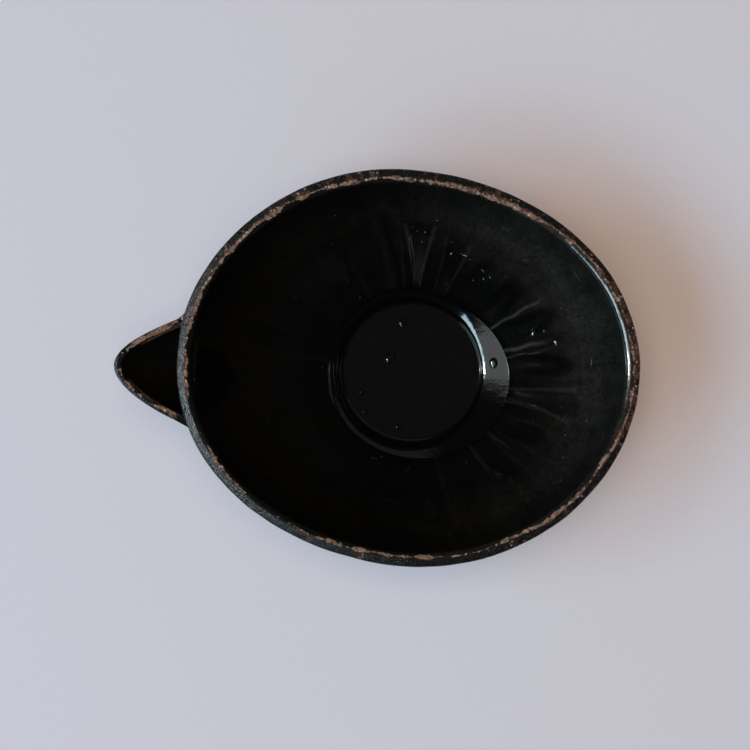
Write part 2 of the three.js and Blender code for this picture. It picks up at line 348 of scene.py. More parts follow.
def wellTop(azimuth):
    # Where the shoulder of the well's side ends.
    return bowl["well"] - bowl["wellFillet"] + atWell(azimuth, bowl["wellSide"]) + wellShoulder(azimuth)


def shelfEdge(azimuth):
    # Where the shelf ends and the flutes start, as a radius on the section.
    oval = bowl["shelfRun"] / (rimInner - bowl["well"])
    edge = np.maximum(fluteStart(azimuth), wellTop(azimuth) + bowl["shelfLeast"])
    return edge + (bowl["length"] / 2 - rimRadius(azimuth)) * oval


def fluteShape(radius, azimuth):
    # For places on the section: depth from 0 to 1, how far across the flute, and how far along it.
    rng = np.random.default_rng(flutes["seed"])
    count = flutes["count"]
    deep, broad, far = (1 + flutes["vary"] * rng.uniform(-1, 1, count) for _ in range(3))
    drift = np.radians(flutes["drift"]) * rng.uniform(-1, 1, count)
    middles = np.degrees(np.arange(count) * fullTurn / count) + flutes["turn"]
    deep = deep * np.interp(middles % 360, *flutes["strength"])
    clean = np.zeros(count)  # one flute is cut cleanly, with a square end
    clean[0], deep[0], broad[0], far[0], drift[0] = 1, 1, 1, 1, 0
    for number, length, clear in flutes["clear"]:
        clean[number], deep[number], broad[number], far[number], drift[number] = clear, 0.8, 1, length, 0
    pitch = fullTurn / count
    place = (azimuth - math.radians(flutes["turn"])) / pitch
    number = np.round(place).astype(int) % count
    sharp = clean[number]
    start = shelfEdge(azimuth) - flutes["early"]
    stop = shelfRadius + flutes["run"] * mix(1, far[number], 0.4)
    along = np.clip((radius - start) / (stop - start), 0, 1.3)
    wander = flutes["wander"] * np.sin(along * 5 + number * 1.7) * (1 - sharp)
    across = place - np.round(place) - drift[number] / pitch + wander
    narrow = mix(flutes["softNarrow"], flutes["narrow"], sharp)
    wide = mix(flutes["softWide"] * mix(1, broad[number], 0.6), flutes["wide"], sharp)
    half = mix(narrow, wide, np.minimum(along, 1))
    stop = stop - flutes["bow"] * (sharp < 1) * np.clip(across / half, -1, 1) ** 2
    inside = np.clip(1 - (across / half) ** 2, 0, None)
    scoop = mix(inside**1.6, inside**0.8, sharp)
    length = mix(flutes["softStop"], flutes["stop"], sharp)
    end = 1 - ease((radius - stop + length * (1 - sharp)) / length)
    rise = mix(ease(along / 0.6), ease(along / 0.5), sharp)
    return deep[number] * rise * scoop * end, across / half, along, sharp


def scoopAt(radius, azimuth):
    shape, _, _, sharp = fluteShape(radius, azimuth)
    return shape * mix(flutes["softDepth"], 1, sharp) * flutes["depth"]


def wellSection():
    # Radii from the floor of the well to its lip, and the heights there for each azimuth.
    edge = bowl["well"] - bowl["wellFillet"]
    lipSlope = bowl["shelfRise"] / bowl["shelfRun"]
    foot = edge - max(bowl["wellHollow"]) / 2
    finer = edge + 1.4
    radii = np.concatenate([np.linspace(foot, finer, 15), np.linspace(finer, bowl["well"], 25)[1:]])
    rises = []
    for azimuth in azimuths:
        pairs = (bowl["wellOut"], bowl["wellHollow"], bowl["wellSide"])
        out, hollow, side = (float(atWell(azimuth, pair)) for pair in pairs)
        end = float(wellTop(azimuth))
        start, turn, top = edge + out - hollow / 2, edge + out + hollow / 2, edge + side
        bends = (start, turn, turn + 0.35, top, mix(top, end, 0.35), end, end + 0.25, bowl["well"])
        parts = []
        # At each bend: the share of the steep slope, and the slope that is added to it
        for slopes in ((0, 0, 1, 0.55, 0, 0, 0, 0), (0, 0.42, 0, 0, 0.46, 0.39, lipSlope, lipSlope)):
            drawn = np.interp(radii, bends, slopes)
            parts.append((drawn[1:] + drawn[:-1]) / 2 * np.diff(radii))
        steep = (bowl["wellDepth"] - parts[1].sum()) / parts[0].sum()
        rises.append(parts[0] * steep + parts[1])
    heights = np.concatenate([np.zeros((len(azimuths), 1)), np.cumsum(rises, 1)], 1)
    return radii, lipHeight - bowl["wellDepth"] + heights.T


def drawnIn(radius, azimuth):
    # How far a place on the section is drawn in, so that the shelf ends where the flutes start.
    side = wellTop(azimuth) + 0.3
    shift = shelfEdge(azimuth) - shelfRadius
    if radius < shelfRadius:
        share = np.clip((radius - side) / (shelfRadius - side), 0, 1)
    else:
        share = 1 - ease((radius - shelfRadius) / bowl["shelfFade"])
    return shift * share


def steepened(places, heights):
    # From the shelf's edge the wall rises at least at this slope, most of all on the right and behind.
    towards = math.radians(bowl["slopeTowards"])
    least = bowl["leastSlope"] + bowl["moreSlope"] * ease(0.5 + 0.5 * np.cos(azimuths - towards))
    cone = heights[0] + least * (places - places[0])
    soft = bowl["slopeSoft"]
    lifted = heights + soft * np.logaddexp(0, (cone - heights) / soft)
    return lifted - soft * math.log(2) * np.exp(-(places - places[0]))


def insideRows():
    rows = []
    radii, heights = wellSection()
    lipSlope = bowl["shelfRise"] / bowl["shelfRun"]
    for radius in (0.5, 5, 10, 15, 19, 22, radii[0] - 0.3):
        rows.append((even(radius), heights[0]))
    section = [(r, h, 0) for r, h in zip(radii[:-1], heights[:-1])]
    # The shelf, turning up into the wall over a short curve
    for out in (0, 0.15, 0.3, 0.45, 0.6, 0.75, 0.87, 0.95, 0.99):
        radius = bowl["well"] + bowl["shelfRun"] * out
        height = lipHeight + bowl["shelfRise"] * out
        section.append((radius, height, (radius - bowl["well"]) / (rimInner - bowl["well"])))
    for radius, height, oval in section:
        shift = drawnIn(radius, azimuths)
        place = ovalRadius(radius + shift, oval, azimuths)
        rows.append((place, height + (place - radius) * lipSlope - scoopAt(radius + shift, azimuths)))
    drop = (place - radius - shift) * lipSlope
    upward = [np.linspace(0.01, 0.5, 50), np.linspace(0.5, 0.6, 9)[1:], np.linspace(0.6, 1, 16)[1:]]
    shares = np.concatenate([[0, 0.002], *upward])
    bare = []
    for share in shares:
        radius, height, oval = wallPoint(share)
        shift = drawnIn(radius, azimuths)
        fall = shift * lipSlope + drop * (1 - ease((radius - shelfRadius) / bowl["shelfFade"]))
        bare.append((ovalRadius(radius + shift, oval, azimuths), height + fall, shift, fall))
    places, heights, shifts, falls = (np.array(part) for part in zip(*bare))
    lifts = steepened(places, heights) - heights
    for share, shift, lift in zip(shares, shifts, lifts + falls):
        radius, height, oval = wallPoint(share, scoopAt(wallPoint(share)[0] + shift, azimuths))
        rows.append((ovalRadius(radius + shift, oval, azimuths), height + lift))
    return rows


def rimRows():
    rows = []
    crest = rimInner + bowl["crestInset"]
    inset, drop = bowl["crestInset"], bowl["crestRound"]
    slope = math.tan(math.radians(bowl["crestLean"]))
    for t in np.linspace(0, 1, 12)[1:]:
        away = inset * (1 - t)  # from the crest
        fall = slope * away * away / (away + 0.12)
        fall += (drop - slope * inset * inset / (inset + 0.12)) * (1 - t) ** 7
        rows.append((ovalRadius(crest - away, 1, azimuths), even(crestHeight - fall)))
    lean, edge = math.radians(bowl["bevelLean"]), bowl["bevelEdge"]
    flat = bowl["rim"] - bowl["crestInset"] - edge * (1 - math.sin(lean))
    profile = [(flat * s, flat * math.tan(lean) * s * s / (s + 0.06)) for s in np.linspace(0.1, 1, 7)]
    bend = profile[-1][1]
    for turn in np.linspace(lean, math.pi / 2, 6)[1:]:
        out = flat + edge * (math.sin(turn) - math.sin(lean))
        profile.append((out, bend + edge * (math.cos(lean) - math.cos(turn))))
    for out, drop in profile:
        rows.append((ovalRadius(crest + out, 1, azimuths), even(crestHeight - drop)))
    return rows


def outsideRows(clear=0.0, count=22):
    top = float(np.interp(crestHeight - 2 * bowl["bevelDrop"], outsideTable[1], fineShares))
    bottom = float(np.interp(bowl["seat"] + bowl["cove"], outsideTable[0], fineShares))
    rows = []
    for share in np.linspace(top, bottom, count):
        radius, height, oval = outsidePoint(share, clear)
        rows.append((ovalRadius(radius, oval, azimuths), even(height)))
    for radius in (bowl["seat"] + 3, bowl["seat"], bowl["seat"] - 6, 6):
        rise = max(0, radius - bowl["seat"]) * 0.55
        rows.append((even(radius + clear), even(seatHeight - clear + rise)))
    return rows


def handShaped(points):
    # The walls are a little uneven, and the rim rises and falls.
    height = points[..., 2]
    upper = ease((height - seatHeight) / (crestHeight - seatHeight))
    around = points.copy()
    around[..., 2] = 0
    points[..., 2] += bowl["handHeight"] * handNoise(around, 34, 3) * upper**3
    radial = points.copy()
    radial[..., 2] = 0
    size = np.linalg.norm(radial, axis=-1, keepdims=True)
    radial /= np.maximum(size, 1e-6)
    swell = bowl["handSurface"] * (handNoise(points, 17, 1) + 0.5 * handNoise(points, 7, 2))
    points += radial * (swell * np.clip(size[..., 0] / 30, 0, 1))[..., None]
    return points


def makeBowl():
    inside = insideRows()
    rows = inside + rimRows() + outsideRows()
    points = handShaped(np.array([polar(radius, azimuths, height) for radius, height in rows]))
    piece = makeMesh("bowlBody", *skin(points))
    cutWith(piece, makeHoleCutter())
    print("bowl:", len(inside), "rows inside,", len(rows), "in all")
    wallRows = slice(len(inside) - 60, len(inside) - 8, 2)
    return piece, points[wallRows, :: bowl["gridStep"]]


# The spout, in a frame on the outside of the wall at the height of its rim, with X along it

spoutTop = crestHeight - spout["belowRim"]
spoutHeading = math.radians(spout["azimuth"] + spout["yaw"])


def outsideAt(height, azimuth):
    radius = wallRadius(height, azimuth, outsideTable)
    return np.array([radius * math.cos(azimuth), radius * math.sin(azimuth), height])


spoutOrigin = outsideAt(spoutTop, math.radians(spout["azimuth"]))
spoutTurn = np.array(Matrix.Rotation(spoutHeading, 3, "Z"))


def fromSpout(points):
    return np.asarray(points) @ spoutTurn.T + spoutOrigin


def setback(level):
    azimuth = math.radians(spout["azimuth"])
    return float(np.hypot(*spoutOrigin[:2]) - wallRadius(spoutTop + level, azimuth, outsideTable))


def rootAt(share):
    # The level of a place along the joint, how far left and right of the middle, and how far along the spout.
    level = -spout["depth"] * (1 - share)
    half = mix(spout["keelWidth"], spout["width"], math.sin(share * math.pi / 2)) / 2
    shift = spout["shift"] * share
    return level, half + shift, half - shift, -setback(level)


def bezier(corners, steps):
    t = np.linspace(0, 1, steps + 1)[:, None]
    a, b, c, d = (np.array(p, float) for p in corners)
    return (1 - t) ** 3 * a + 3 * (1 - t) ** 2 * t * b + 3 * (1 - t) * t**2 * c + t**3 * d


def spoutOutline(share, inset=0.0, lift=0.0):
    level, left, right, back = rootAt(share)
    left, right = left - inset, right - inset
    keel = mix(share, math.sin(share * math.pi / 2), spout["keelBelly"])
    tip = mix(rootAt(0)[3], spout["reach"], keel) - inset
    run = tip - back
    one = bezier(
        [
            (back, -left),
            (back + run * spout["leftRun"], -left * spout["leftCheek"]),
            (tip, -left * spout["leftNose"]),
            (tip, 0),
        ],
        spout["steps"],
    )
    two = bezier(
        [
            (tip, 0),
            (tip, right * spout["rightNose"]),
            (back + run * spout["rightRun"], right * spout["rightCheek"]),
            (back, right),
        ],
        spout["steps"],
    )
    flare = spout["flare"] * float(ease(np.array(run / 14))) * (1 - min(1, inset / spout["wall"]))
    flareRun = min(spout["flareRun"], max(run, 0) / 2 + 0.01)
    one[:, 1] -= flare * np.clip(1 - (one[:, 0] - back) / flareRun, 0, 1) ** 2
    deep = 2 * bowl["wallAtBase"] - inset
    buriedLeft = (back - deep, one[0, 1] - flare * deep / flareRun)
    buriedRight = (back - deep, right + spout["rightSlope"] * deep * share)
    flat = np.concatenate([[buriedLeft], one, two[1:], [buriedRight]])
    slope = spout["rise"] / spout["reach"] * share
    heights = level + inset * (1 - share) + lift + slope * flat[:, 0]
    return np.column_stack([flat, heights])


def bowlBlank(clear):
    rows = outsideRows(clear, 60)
    top = (rows[0][0], rows[0][1] + 60)
    return makeMesh("bowlBlank", *skin([polar(r, azimuths, h) for r, h in [top] + rows]))


def makeSpout():
    wall, inner, outer = spout["wall"], spout["innerRound"], spout["outerRound"]
    crest = spout["crestInset"]
    lean = math.tan(math.radians(spout["bevelLean"]))
    shares = np.linspace(0, 1, spout["layers"])
    rows = [spoutOutline(s, wall, -inner * s) for s in shares]
    for turn in np.linspace(0, math.pi / 2, 6)[1:]:
        rows.append(spoutOutline(1, wall - inner * (1 - math.cos(turn)), -inner * (1 - math.sin(turn))))
    for away in np.linspace(0, crest - outer, 6):
        rows.append(spoutOutline(1, crest - away, -lean * away * away / (away + 0.15)))
    low = lean * (crest - outer)
    for turn in np.linspace(0, math.pi / 2, 6)[1:]:
        rows.append(spoutOutline(1, outer * (1 - math.sin(turn)), -low - outer * (1 - math.cos(turn))))
    rows += [spoutOutline(s, 0, -(low + outer) * s) for s in shares[-2::-1]]
    rows = np.array(rows)
    piece = makeMesh("spoutBeak", *skin(fromSpout(rows)))
    cutWith(piece, bowlBlank(-spout["buried"]))
    return piece


# The hole through the wall, with its edges rounded inside and out


def crossing(lateral, level, table):
    # Where a line along the spout meets a side of the wall, as a place along the spout.
    low, high = np.full(lateral.shape, -40.0), np.full(lateral.shape, 12.0)
    for _ in range(34):
        middle = (low + high) / 2
        point = fromSpout(np.stack([middle, lateral, level], -1))
        distance = np.hypot(point[..., 0], point[..., 1])
        azimuth = np.arctan2(point[..., 1], point[..., 0])
        within = distance < wallRadius(point[..., 2], azimuth, table)
        low, high = np.where(within, middle, low), np.where(within, high, middle)
    return (low + high) / 2


def makeHoleCutter():
    bottom = -spout["depth"] + spout["wall"] + hole["ledge"] / 2
    top = spout["belowRim"] - hole["bridge"]
    halfWidth = hole["halfWidth"]
    angles = np.arange(hole["around"]) / hole["around"] * fullTurn
    edge = hole["edge"]

    def ring(flare, depth, table, side):
        lateral = (halfWidth + flare) * np.cos(angles)
        level = (top + bottom) / 2 + ((top - bottom) / 2 + flare) * np.sin(angles)
        place = crossing(lateral, level, table) + side * depth
        return np.stack([place, lateral, level], -1)

    turns = np.radians(np.linspace(76, 0, 9))
    flares = [(edge * (1 - math.cos(t)), edge * (1 - math.sin(t))) for t in turns]
    out = (flares[0][0] + 0.8, -0.25)
    insideRings = [ring(out[0], -9, insideTable, 1), ring(*out, insideTable, 1)]
    insideRings += [ring(f, d, insideTable, 1) for f, d in flares]
    outsideRings = [ring(f, d, outsideTable, -1) for f, d in flares[::-1]]
    outsideRings += [ring(*out, outsideTable, -1), ring(out[0], -6, outsideTable, -1)]
    return makeMesh("holeCutter", *skin(fromSpout(np.array(insideRings + outsideRings))))


# The coils worked into the two joints, and the foot

coil = {
    "spoutReach": 3.6,
    "spoutSwell": 0.35,
    "sunk": 0.7,
    "keel": 0.3,  # share of the joint that counts as the keel
    "keelSunk": 1.5,  # how deep its edge goes into the spout there, and along the cheeks
    "cheekSunk": 0.55,
    "top": 1.03,
    "footReach": 3.6,
    "fine": 180,
    "smooth": 7,  # stations averaged to each side
}


def seamPlace(share, side):
    level, left, right, back = rootAt(share)
    root = fromSpout([back, right if side > 0 else -left, level])
    return outsideAt(root[2], math.atan2(root[1], root[0]))


def makeSpoutCoil():
    shares = np.linspace(coil["top"], 0, coil["fine"])
    stations = [(s, 1) for s in shares] + [(s, -1) for s in shares[::-1]]
    seam = np.array([seamPlace(s, side) for s, side in stations])
    smooth = coil["smooth"]
    seam = np.array([seam[max(0, i - smooth) : i + smooth + 1].mean(0) for i in range(len(seam))])
    keelWay = np.subtract(*(fromSpout(spoutOutline(s)[1 + spout["steps"]]) for s in (0.15, 0)))
    sections = []
    for i, (share, side) in enumerate(stations):
        place = seam[i]
        along = seam[min(i + 1, len(seam) - 1)] - seam[max(i - 1, 0)]
        along /= np.linalg.norm(along)
        outward = np.array([place[0], place[1], 0]) / np.hypot(*place[:2])
        outward[2] = -0.35 * (1 - min(share, 1))
        outward /= np.linalg.norm(outward)
        onWall = np.cross(outward, along)
        onWall /= np.linalg.norm(onWall)
        near = fromSpout(spoutOutline(min(share, 1))[6 if side < 0 else -7])
        ways = []
        for way in (keelWay, near - place):
            way = way - along * (way @ along)
            ways.append(way / np.linalg.norm(way))
        beyondKeel = float(ease(np.array(share / coil["keel"])))
        onSpout = mix(*ways, beyondKeel)
        onSpout /= np.linalg.norm(onSpout)
        if onWall @ onSpout > 0 and share > coil["keel"]:
            onWall = -onWall
        reach = coil["spoutReach"] * (1 + coil["spoutSwell"] * noise.noise(Vector(place / 9)))
        reach *= float(ease(np.array((1.05 - share) / 0.12 + 0.35)))
        deep = -outward * coil["sunk"] - onSpout * 0.2
        onto = place + onWall * reach
        onto = outsideAt(onto[2], math.atan2(onto[1], onto[0])) - outward * coil["sunk"] * 0.5
        up = place + onSpout * reach - onWall * mix(coil["keelSunk"], coil["cheekSunk"], beyondKeel)
        middle = place + (onWall + onSpout) * reach * 0.12
        t = np.linspace(0, 1, 9)[:, None]
        face = (1 - t) ** 2 * onto + 2 * (1 - t) * t * middle + t**2 * up
        inner = [up - outward * 0.5 + deep, place + deep, onto + deep * 0.6]
        sections.append(np.concatenate([face, inner]))
    return makeMesh("spoutCoil", *skin(np.array(sections)))


def lathe(name, profile, fine=360):
    # A closed profile of radius and height, turned round the axis.
    angles = np.arange(fine) / fine * fullTurn
    count = len(profile)
    radii, heights = np.array(profile, float).T
    points = np.array([polar(radii, np.full(count, angle), heights) for angle in angles])
    faces = []
    for i in range(fine):
        here, after = i * count, (i + 1) % fine * count
        for j in range(count):
            k = (j + 1) % count
            faces.append([here + j, after + j, after + k, here + k])
    return makeMesh(name, points.reshape(-1, 3), faces)


foot = {"radius": 31.4, "width": 6, "flare": 1.4, "round": 1.3}


def arc(centre, radius, start, end, steps):
    turns = np.radians(np.linspace(start, end, steps))
    return [(centre[0] + radius * math.cos(t), centre[1] + radius * math.sin(t)) for t in turns]


def makeFoot():
    inner, r = foot["radius"] - foot["width"], foot["round"]
    profile = arc((inner + r, r), r, 180, 270, 9) + arc((foot["radius"] - r, r), r, 270, 360, 9)
    for t in (0.3, 0.6, 1):
        profile.append((mix(foot["radius"], foot["radius"] + foot["flare"], t), mix(r, seatHeight, t)))
    for out, rise in ((2, 0.2), (-1.2, 0), (-0.2, -1.4), (0, -3)):
        profile.append((inner + out, seatHeight + rise))
    return lathe("footRing", profile)


def makeFootCoil():
    reach = coil["footReach"]
    outer = foot["radius"] + foot["flare"]
    low = (foot["radius"] + foot["flare"] * 0.4 - 0.3, seatHeight - reach)
    high = (outer + reach * 0.95, seatHeight + reach * 0.34)
    corner = (outer + 0.3, seatHeight - 0.4)
    t = np.linspace(0, 1, 9)[:, None]
    face = (1 - t) ** 2 * np.array(low) + 2 * (1 - t) * t * np.array(corner) + t**2 * np.array(high)
    profile = [tuple(p) for p in face] + [(outer + 2, seatHeight + 1.6), (outer - 1.2, seatHeight + 0.4)]
    return lathe("footCoil", profile)


print("shaping the bowl")
bowlPiece, wallGrid = makeBowl()
print("shaping the spout")
spoutPiece = makeSpout()
spoutCoilPiece = makeSpoutCoil()
print("shaping the foot")
footPiece = makeFoot()
footCoilPiece = makeFootCoil()


# Attributes that the glaze follows: how far across the rim, where round the bowl, how much rust shows

# azimuth, how much of the crest has broken to rust, and how much shows outside it
rustAround = (
    (0, 0.75, 0.85), (15, 0.7, 0.95), (30, 0.75, 0.4), (47, 0.95, 0.35), (62, 1.0, 0.6),
    (75, 0.9, 0.45), (92, 0.85, 0.45), (105, 0.8, 0.55), (120, 0.85, 0.7), (135, 0.9, 0.4),
    (150, 0.9, 0.5), (165, 0.9, 0.45), (178, 0.8, 0.1), (187, 0.5, 0.05), (192, 0.2, 0.0),
    (198, 0.2, 0.05), (202, 0.7, 0.1), (213, 0.75, 0.1), (220, 0.6, 0.1), (227, 0.3, 0.1),
    (238, 0.5, 0.1), (250, 0.7, 0.1), (270, 0.8, 0.0), (286, 0.5, 0.1), (291, 0.2, 0.15),
    (296, 0.7, 0.35), (315, 0.75, 0.3), (337, 0.8, 0.5), (345, 0.9, 0.95), (360, 0.75, 0.85),
)
rust = dict(zip(("azimuth", "crest", "outer"), zip(*rustAround)))
rustShift = {  # how far outside the crest the rust lies
    "azimuth": (0, 18, 34, 42, 62, 90, 180, 300, 340, 360),
    "out": (0.8, 1.0, 0.9, 0, -0.3, -0.1, -0.1, 0, 0.5, 0.8),
}
# How far from the crest the rust ends, in millimetres, and over what way; and how much less there is beyond
rustEnd = {"bowl": (5, 3), "spout": (3, 2), "less": 5}
# Azimuths of the fine rust lines on the slope outside the rim, and half their width in degrees
seams = (100, 104, 107, 120, 123, 127, 131, 147, 154, 165, 22, 31, 62, 240, 256, 301, 318)
seamWidth = 0.7
strokes = {"from": 170, "to": 187, "inside": 2.5, "wide": 0.3}  # a second thin line of rust inside the rim


def setAttribute(piece, name, values, kind="FLOAT"):
    made = piece.data.attributes.new(name, kind, "POINT")
    field = "value" if kind == "FLOAT" else "vector"
    made.data.foreach_set(field, np.asarray(values, np.float32).ravel())


def setAttributes(piece, values):
    # Those named run and flow are vectors, and all others are values.
    for name, each in values.items():
        setAttribute(piece, name, each, "FLOAT_VECTOR" if name in ("run", "flow") else "FLOAT")


def vertexPlaces(piece):
    flat = np.empty(len(piece.data.vertices) * 3, np.float32)
    piece.data.vertices.foreach_get("co", flat)
    return (flat.reshape(-1, 3) - np.array(axis)) / mm


thinGlaze = {
    "ridge": 0.03,  # how pale the ridges between the flutes are
    "tip": 0.4,  # and the narrow end of a clear flute
    "arris": (0.95, 0.13),  # where the edge of a flute lies, as a share of its half width, and how wide it is
    "arrisPale": (0.03, 0.7),  # of a soft flute and of a clear one
    "arrisLeast": 0.7,
    "sway": 0.005,  # how much a painted highlight streak wanders
}


def thinGlazeAndLitSide(place, azimuth):
    # How thin the glaze lies: it pools in the well and the flutes, and runs off ridges and the upper wall.
    # The value also carries painted light: a paler wall on the side facing the lamps, and painted highlight
    # streaks along some ridges.
    radius = np.hypot(place[:, 0], place[:, 1])
    share = (bowl["length"] / 2 - rimRadius(azimuth)) / (rimInner - bowl["well"])
    section = (radius - share * bowl["well"]) / (1 - share)
    scoop, across, along, sharp = fluteShape(section, azimuth)
    ridge = ease(along / 0.2) * (1 - ease((along - 0.85) / 0.3)) * np.clip(1 - 1.5 * scoop, 0, 1)
    at, wide = thinGlaze["arris"]
    arris = np.exp(-(((np.abs(across) - at) / wide) ** 2)) * ease(along / 0.1) * (along < 1.02)
    upper = np.interp(section, *flutes["paleUpward"])
    # painted light: the upper wall is made paler on the side that faces the lamps
    pale = np.interp(np.degrees(azimuth) % 360, *flutes["litSidePaleness"])
    pooled = np.clip(2.2 * scoop, 0, 1) * (1 - ease((along - 0.8) / 0.3) * (1 - sharp))
    tip = np.clip(1 - along, 0, 1) * ease(along / 0.1)  # towards the narrow end of a clear flute
    thin = (upper * (1 - 0.5 * pooled) + thinGlaze["ridge"] * ridge) * pale
    thin = thin + thinGlaze["tip"] * pooled * tip * sharp**4
    # painted highlights: pale streaks along some ridges, where they catch the light
    for at, width, reach, strength in flutes["ridgeHighlights"]:
        away = (azimuth - math.radians(at) + math.pi) % fullTurn - math.pi
        away = away + thinGlaze["sway"] * np.sin(section * 0.7 + at)
        line = np.exp(-((away * radius / width) ** 2))
        thin = thin + strength * line * ease(along / 0.06) * (1 - ease((along - reach) / 0.35))
    # the pale flute edges are scaled by the same painted lit-side paleness
    edges = arris * mix(*thinGlaze["arrisPale"], sharp**2) * np.maximum(pale, thinGlaze["arrisLeast"])
    return np.clip(thin + edges, 0, 2)


def markBowl(piece):
    place = vertexPlaces(piece)
    azimuth = np.arctan2(place[:, 1], place[:, 0])
    fromAxis = np.hypot(place[:, 0], place[:, 1])
    inset = rimRadius(azimuth) - fromAxis
    crest = bowl["rim"] - bowl["crestInset"]
    distance = np.hypot(inset - crest, place[:, 2] - crestHeight)
    degrees = np.degrees(azimuth) % 360
    across = np.where(inset > crest, -distance, distance)
    across = across - np.interp(degrees, rustShift["azimuth"], rustShift["out"])
    start, way = rustEnd["bowl"]
    close = ease((distance - start) / way)
    dull = ease(-0.6 - 2.2 * np.cos(azimuth)) * ease((fromAxis - 36) / 6)  # on the wall by the spout
    near = np.min([np.abs((degrees - s + 180) % 360 - 180) for s in seams], axis=0)
    within = ease((degrees - strokes["from"]) / 4) * ease((strokes["to"] - degrees) / 4)
    line = np.exp(-(((inset - crest - strokes["inside"]) / strokes["wide"]) ** 2))
    crestRust = np.interp(degrees, rust["azimuth"], rust["crest"])
    values = {
        "acrossRim": np.clip(across, -40, 40),
        "crestRust": crestRust - rustEnd["less"] * close,
        "outerRust": np.interp(degrees, rust["azimuth"], rust["outer"]),
        # glaze thinness, with painted light: the wall paler on the side facing the lamps
        "thin": thinGlazeAndLitSide(place, azimuth),
        "dull": dull * (place[:, 2] < rimEdge),
        "seam": np.exp(-((near / seamWidth) ** 2)),
        "stroke": line * within * (place[:, 2] > crestHeight - 8),
        "run": np.stack([16 * np.cos(azimuth), 16 * np.sin(azimuth), fromAxis / 22], -1),
        "flow": np.stack([75 * np.cos(azimuth), 75 * np.sin(azimuth), place[:, 2]], -1) * mm,
    }
    setAttributes(piece, values)


# By place along the spout's rim, from 0 at the left root to 1 at the right one. The left cheek has its
# rust outside the crest, the right one inside it, and the nose has hardly any.
spoutRust = {
    "shift": ((0, 0.35, 0.5, 0.6, 0.8, 1), (-1.1, -0.9, 0.2, 0, 0, -0.6)),
    "crest": (
        (0, 0.36, 0.42, 0.52, 0.56, 0.72, 0.76, 0.84, 0.9, 1),
        (1, 0.9, 0.1, 0.35, 0.85, 0.8, 0.3, 0.3, 0.8, 0.9),
    ),
    "outer": ((0, 0.35, 0.42, 0.8, 0.9, 1), (0.9, 0.6, 0, 0, 0.5, 0.8)),
    "lines": ((0, 0.24, 0.3, 0.66, 0.7, 0.97, 1), (1, 1, 0, 0, 1, 1, 0)),
}


def markSpout(piece):
    place = vertexPlaces(piece)
    local = (place - spoutOrigin) @ spoutTurn
    below = np.maximum(spout["rise"] / spout["reach"] * local[:, 0] - local[:, 2], 0)
    outline = spoutOutline(1)[1:-1, :2]
    gaps = np.array([np.hypot(*(outline - p).T) for p in local[:, :2]])
    turn = gaps.argmin(1) / (len(outline) - 1)  # 0 at the left root, 1 at the right one
    crest = spout["crestInset"]
    offset = crest - gaps.min(1)
    distance = np.hypot(offset, np.where(below > 1.2, below, 0))
    across = np.where(offset < 0, -distance, distance)
    shift, crestRust, outerRust, lines = (np.interp(turn, *table) for table in spoutRust.values())
    start, way = rustEnd["spout"]
    line = np.exp(-(((offset + 0.55) / 0.3) ** 2))
    values = {
        "acrossRim": np.clip(across + shift, -40, 40),
        "crestRust": crestRust - rustEnd["less"] * ease((distance - start) / way),
        "outerRust": outerRust,
        "thin": np.full(len(place), 0.1),
        "seam": np.zeros(len(place)),
        "dull": np.full(len(place), 0.4),
        "run": place / 9,
        "stroke": lines * line * (below < 2.5),
        "flow": place * mm,
    }
    setAttributes(piece, values)


markBowl(bowlPiece)
markSpout(spoutPiece)
for piece in (spoutCoilPiece, footCoilPiece):
    setAttribute(piece, "thin", np.full(len(piece.data.vertices), 0.05))
print("marked the rims")


# Materials


def addNode(tree, kind, inputs=None, **settings):
    made = tree.nodes.new(kind)
    for key, value in settings.items():
        setattr(made, key, value)
    for key, value in (inputs or {}).items():
        if isinstance(value, bpy.types.NodeSocket):
            tree.links.new(value, made.inputs[key])
        else:
            made.inputs[key].default_value = value
    return made


def calculate(tree, operation, a, b=None, c=None):
    inputs = {i: v for i, v in enumerate((a, b, c)) if v is not None}
    return addNode(tree, "ShaderNodeMath", inputs, operation=operation).outputs[0]


def multiply(tree, a, b):
    return calculate(tree, "MULTIPLY", a, b)


def multiplyAdd(tree, a, b, c):
    return calculate(tree, "MULTIPLY_ADD", a, b, c)


def smoothStep(tree, value, low, high):
    inputs = {"Value": value, "From Min": low, "From Max": high}
    return addNode(tree, "ShaderNodeMapRange", inputs, interpolation_type="SMOOTHSTEP").outputs[0]


def blend(tree, share, a, b):
    return addNode(tree, "ShaderNodeMix", {0: share, 6: a, 7: b}, data_type="RGBA").outputs[2]


def fractalNoise(tree, vector, scale, detail=4.0, roughness=0.55):
    inputs = {"Vector": vector, "Scale": scale, "Detail": detail, "Roughness": roughness}
    return addNode(tree, "ShaderNodeTexNoise", inputs).outputs["Fac"]


def newGroup(name, inputs, outputs):
    # Inputs named Place or Flow are vectors, and all others are values.
    tree = bpy.data.node_groups.new(name, "ShaderNodeTree")
    for way, sockets in (("INPUT", inputs), ("OUTPUT", outputs)):
        for socket in sockets:
            kind = "NodeSocketVector" if socket in ("Place", "Flow") else "NodeSocketFloat"
            tree.interface.new_socket(socket, in_out=way, socket_type=kind)
    return tree, tree.nodes.new("NodeGroupInput").outputs, tree.nodes.new("NodeGroupOutput").inputs


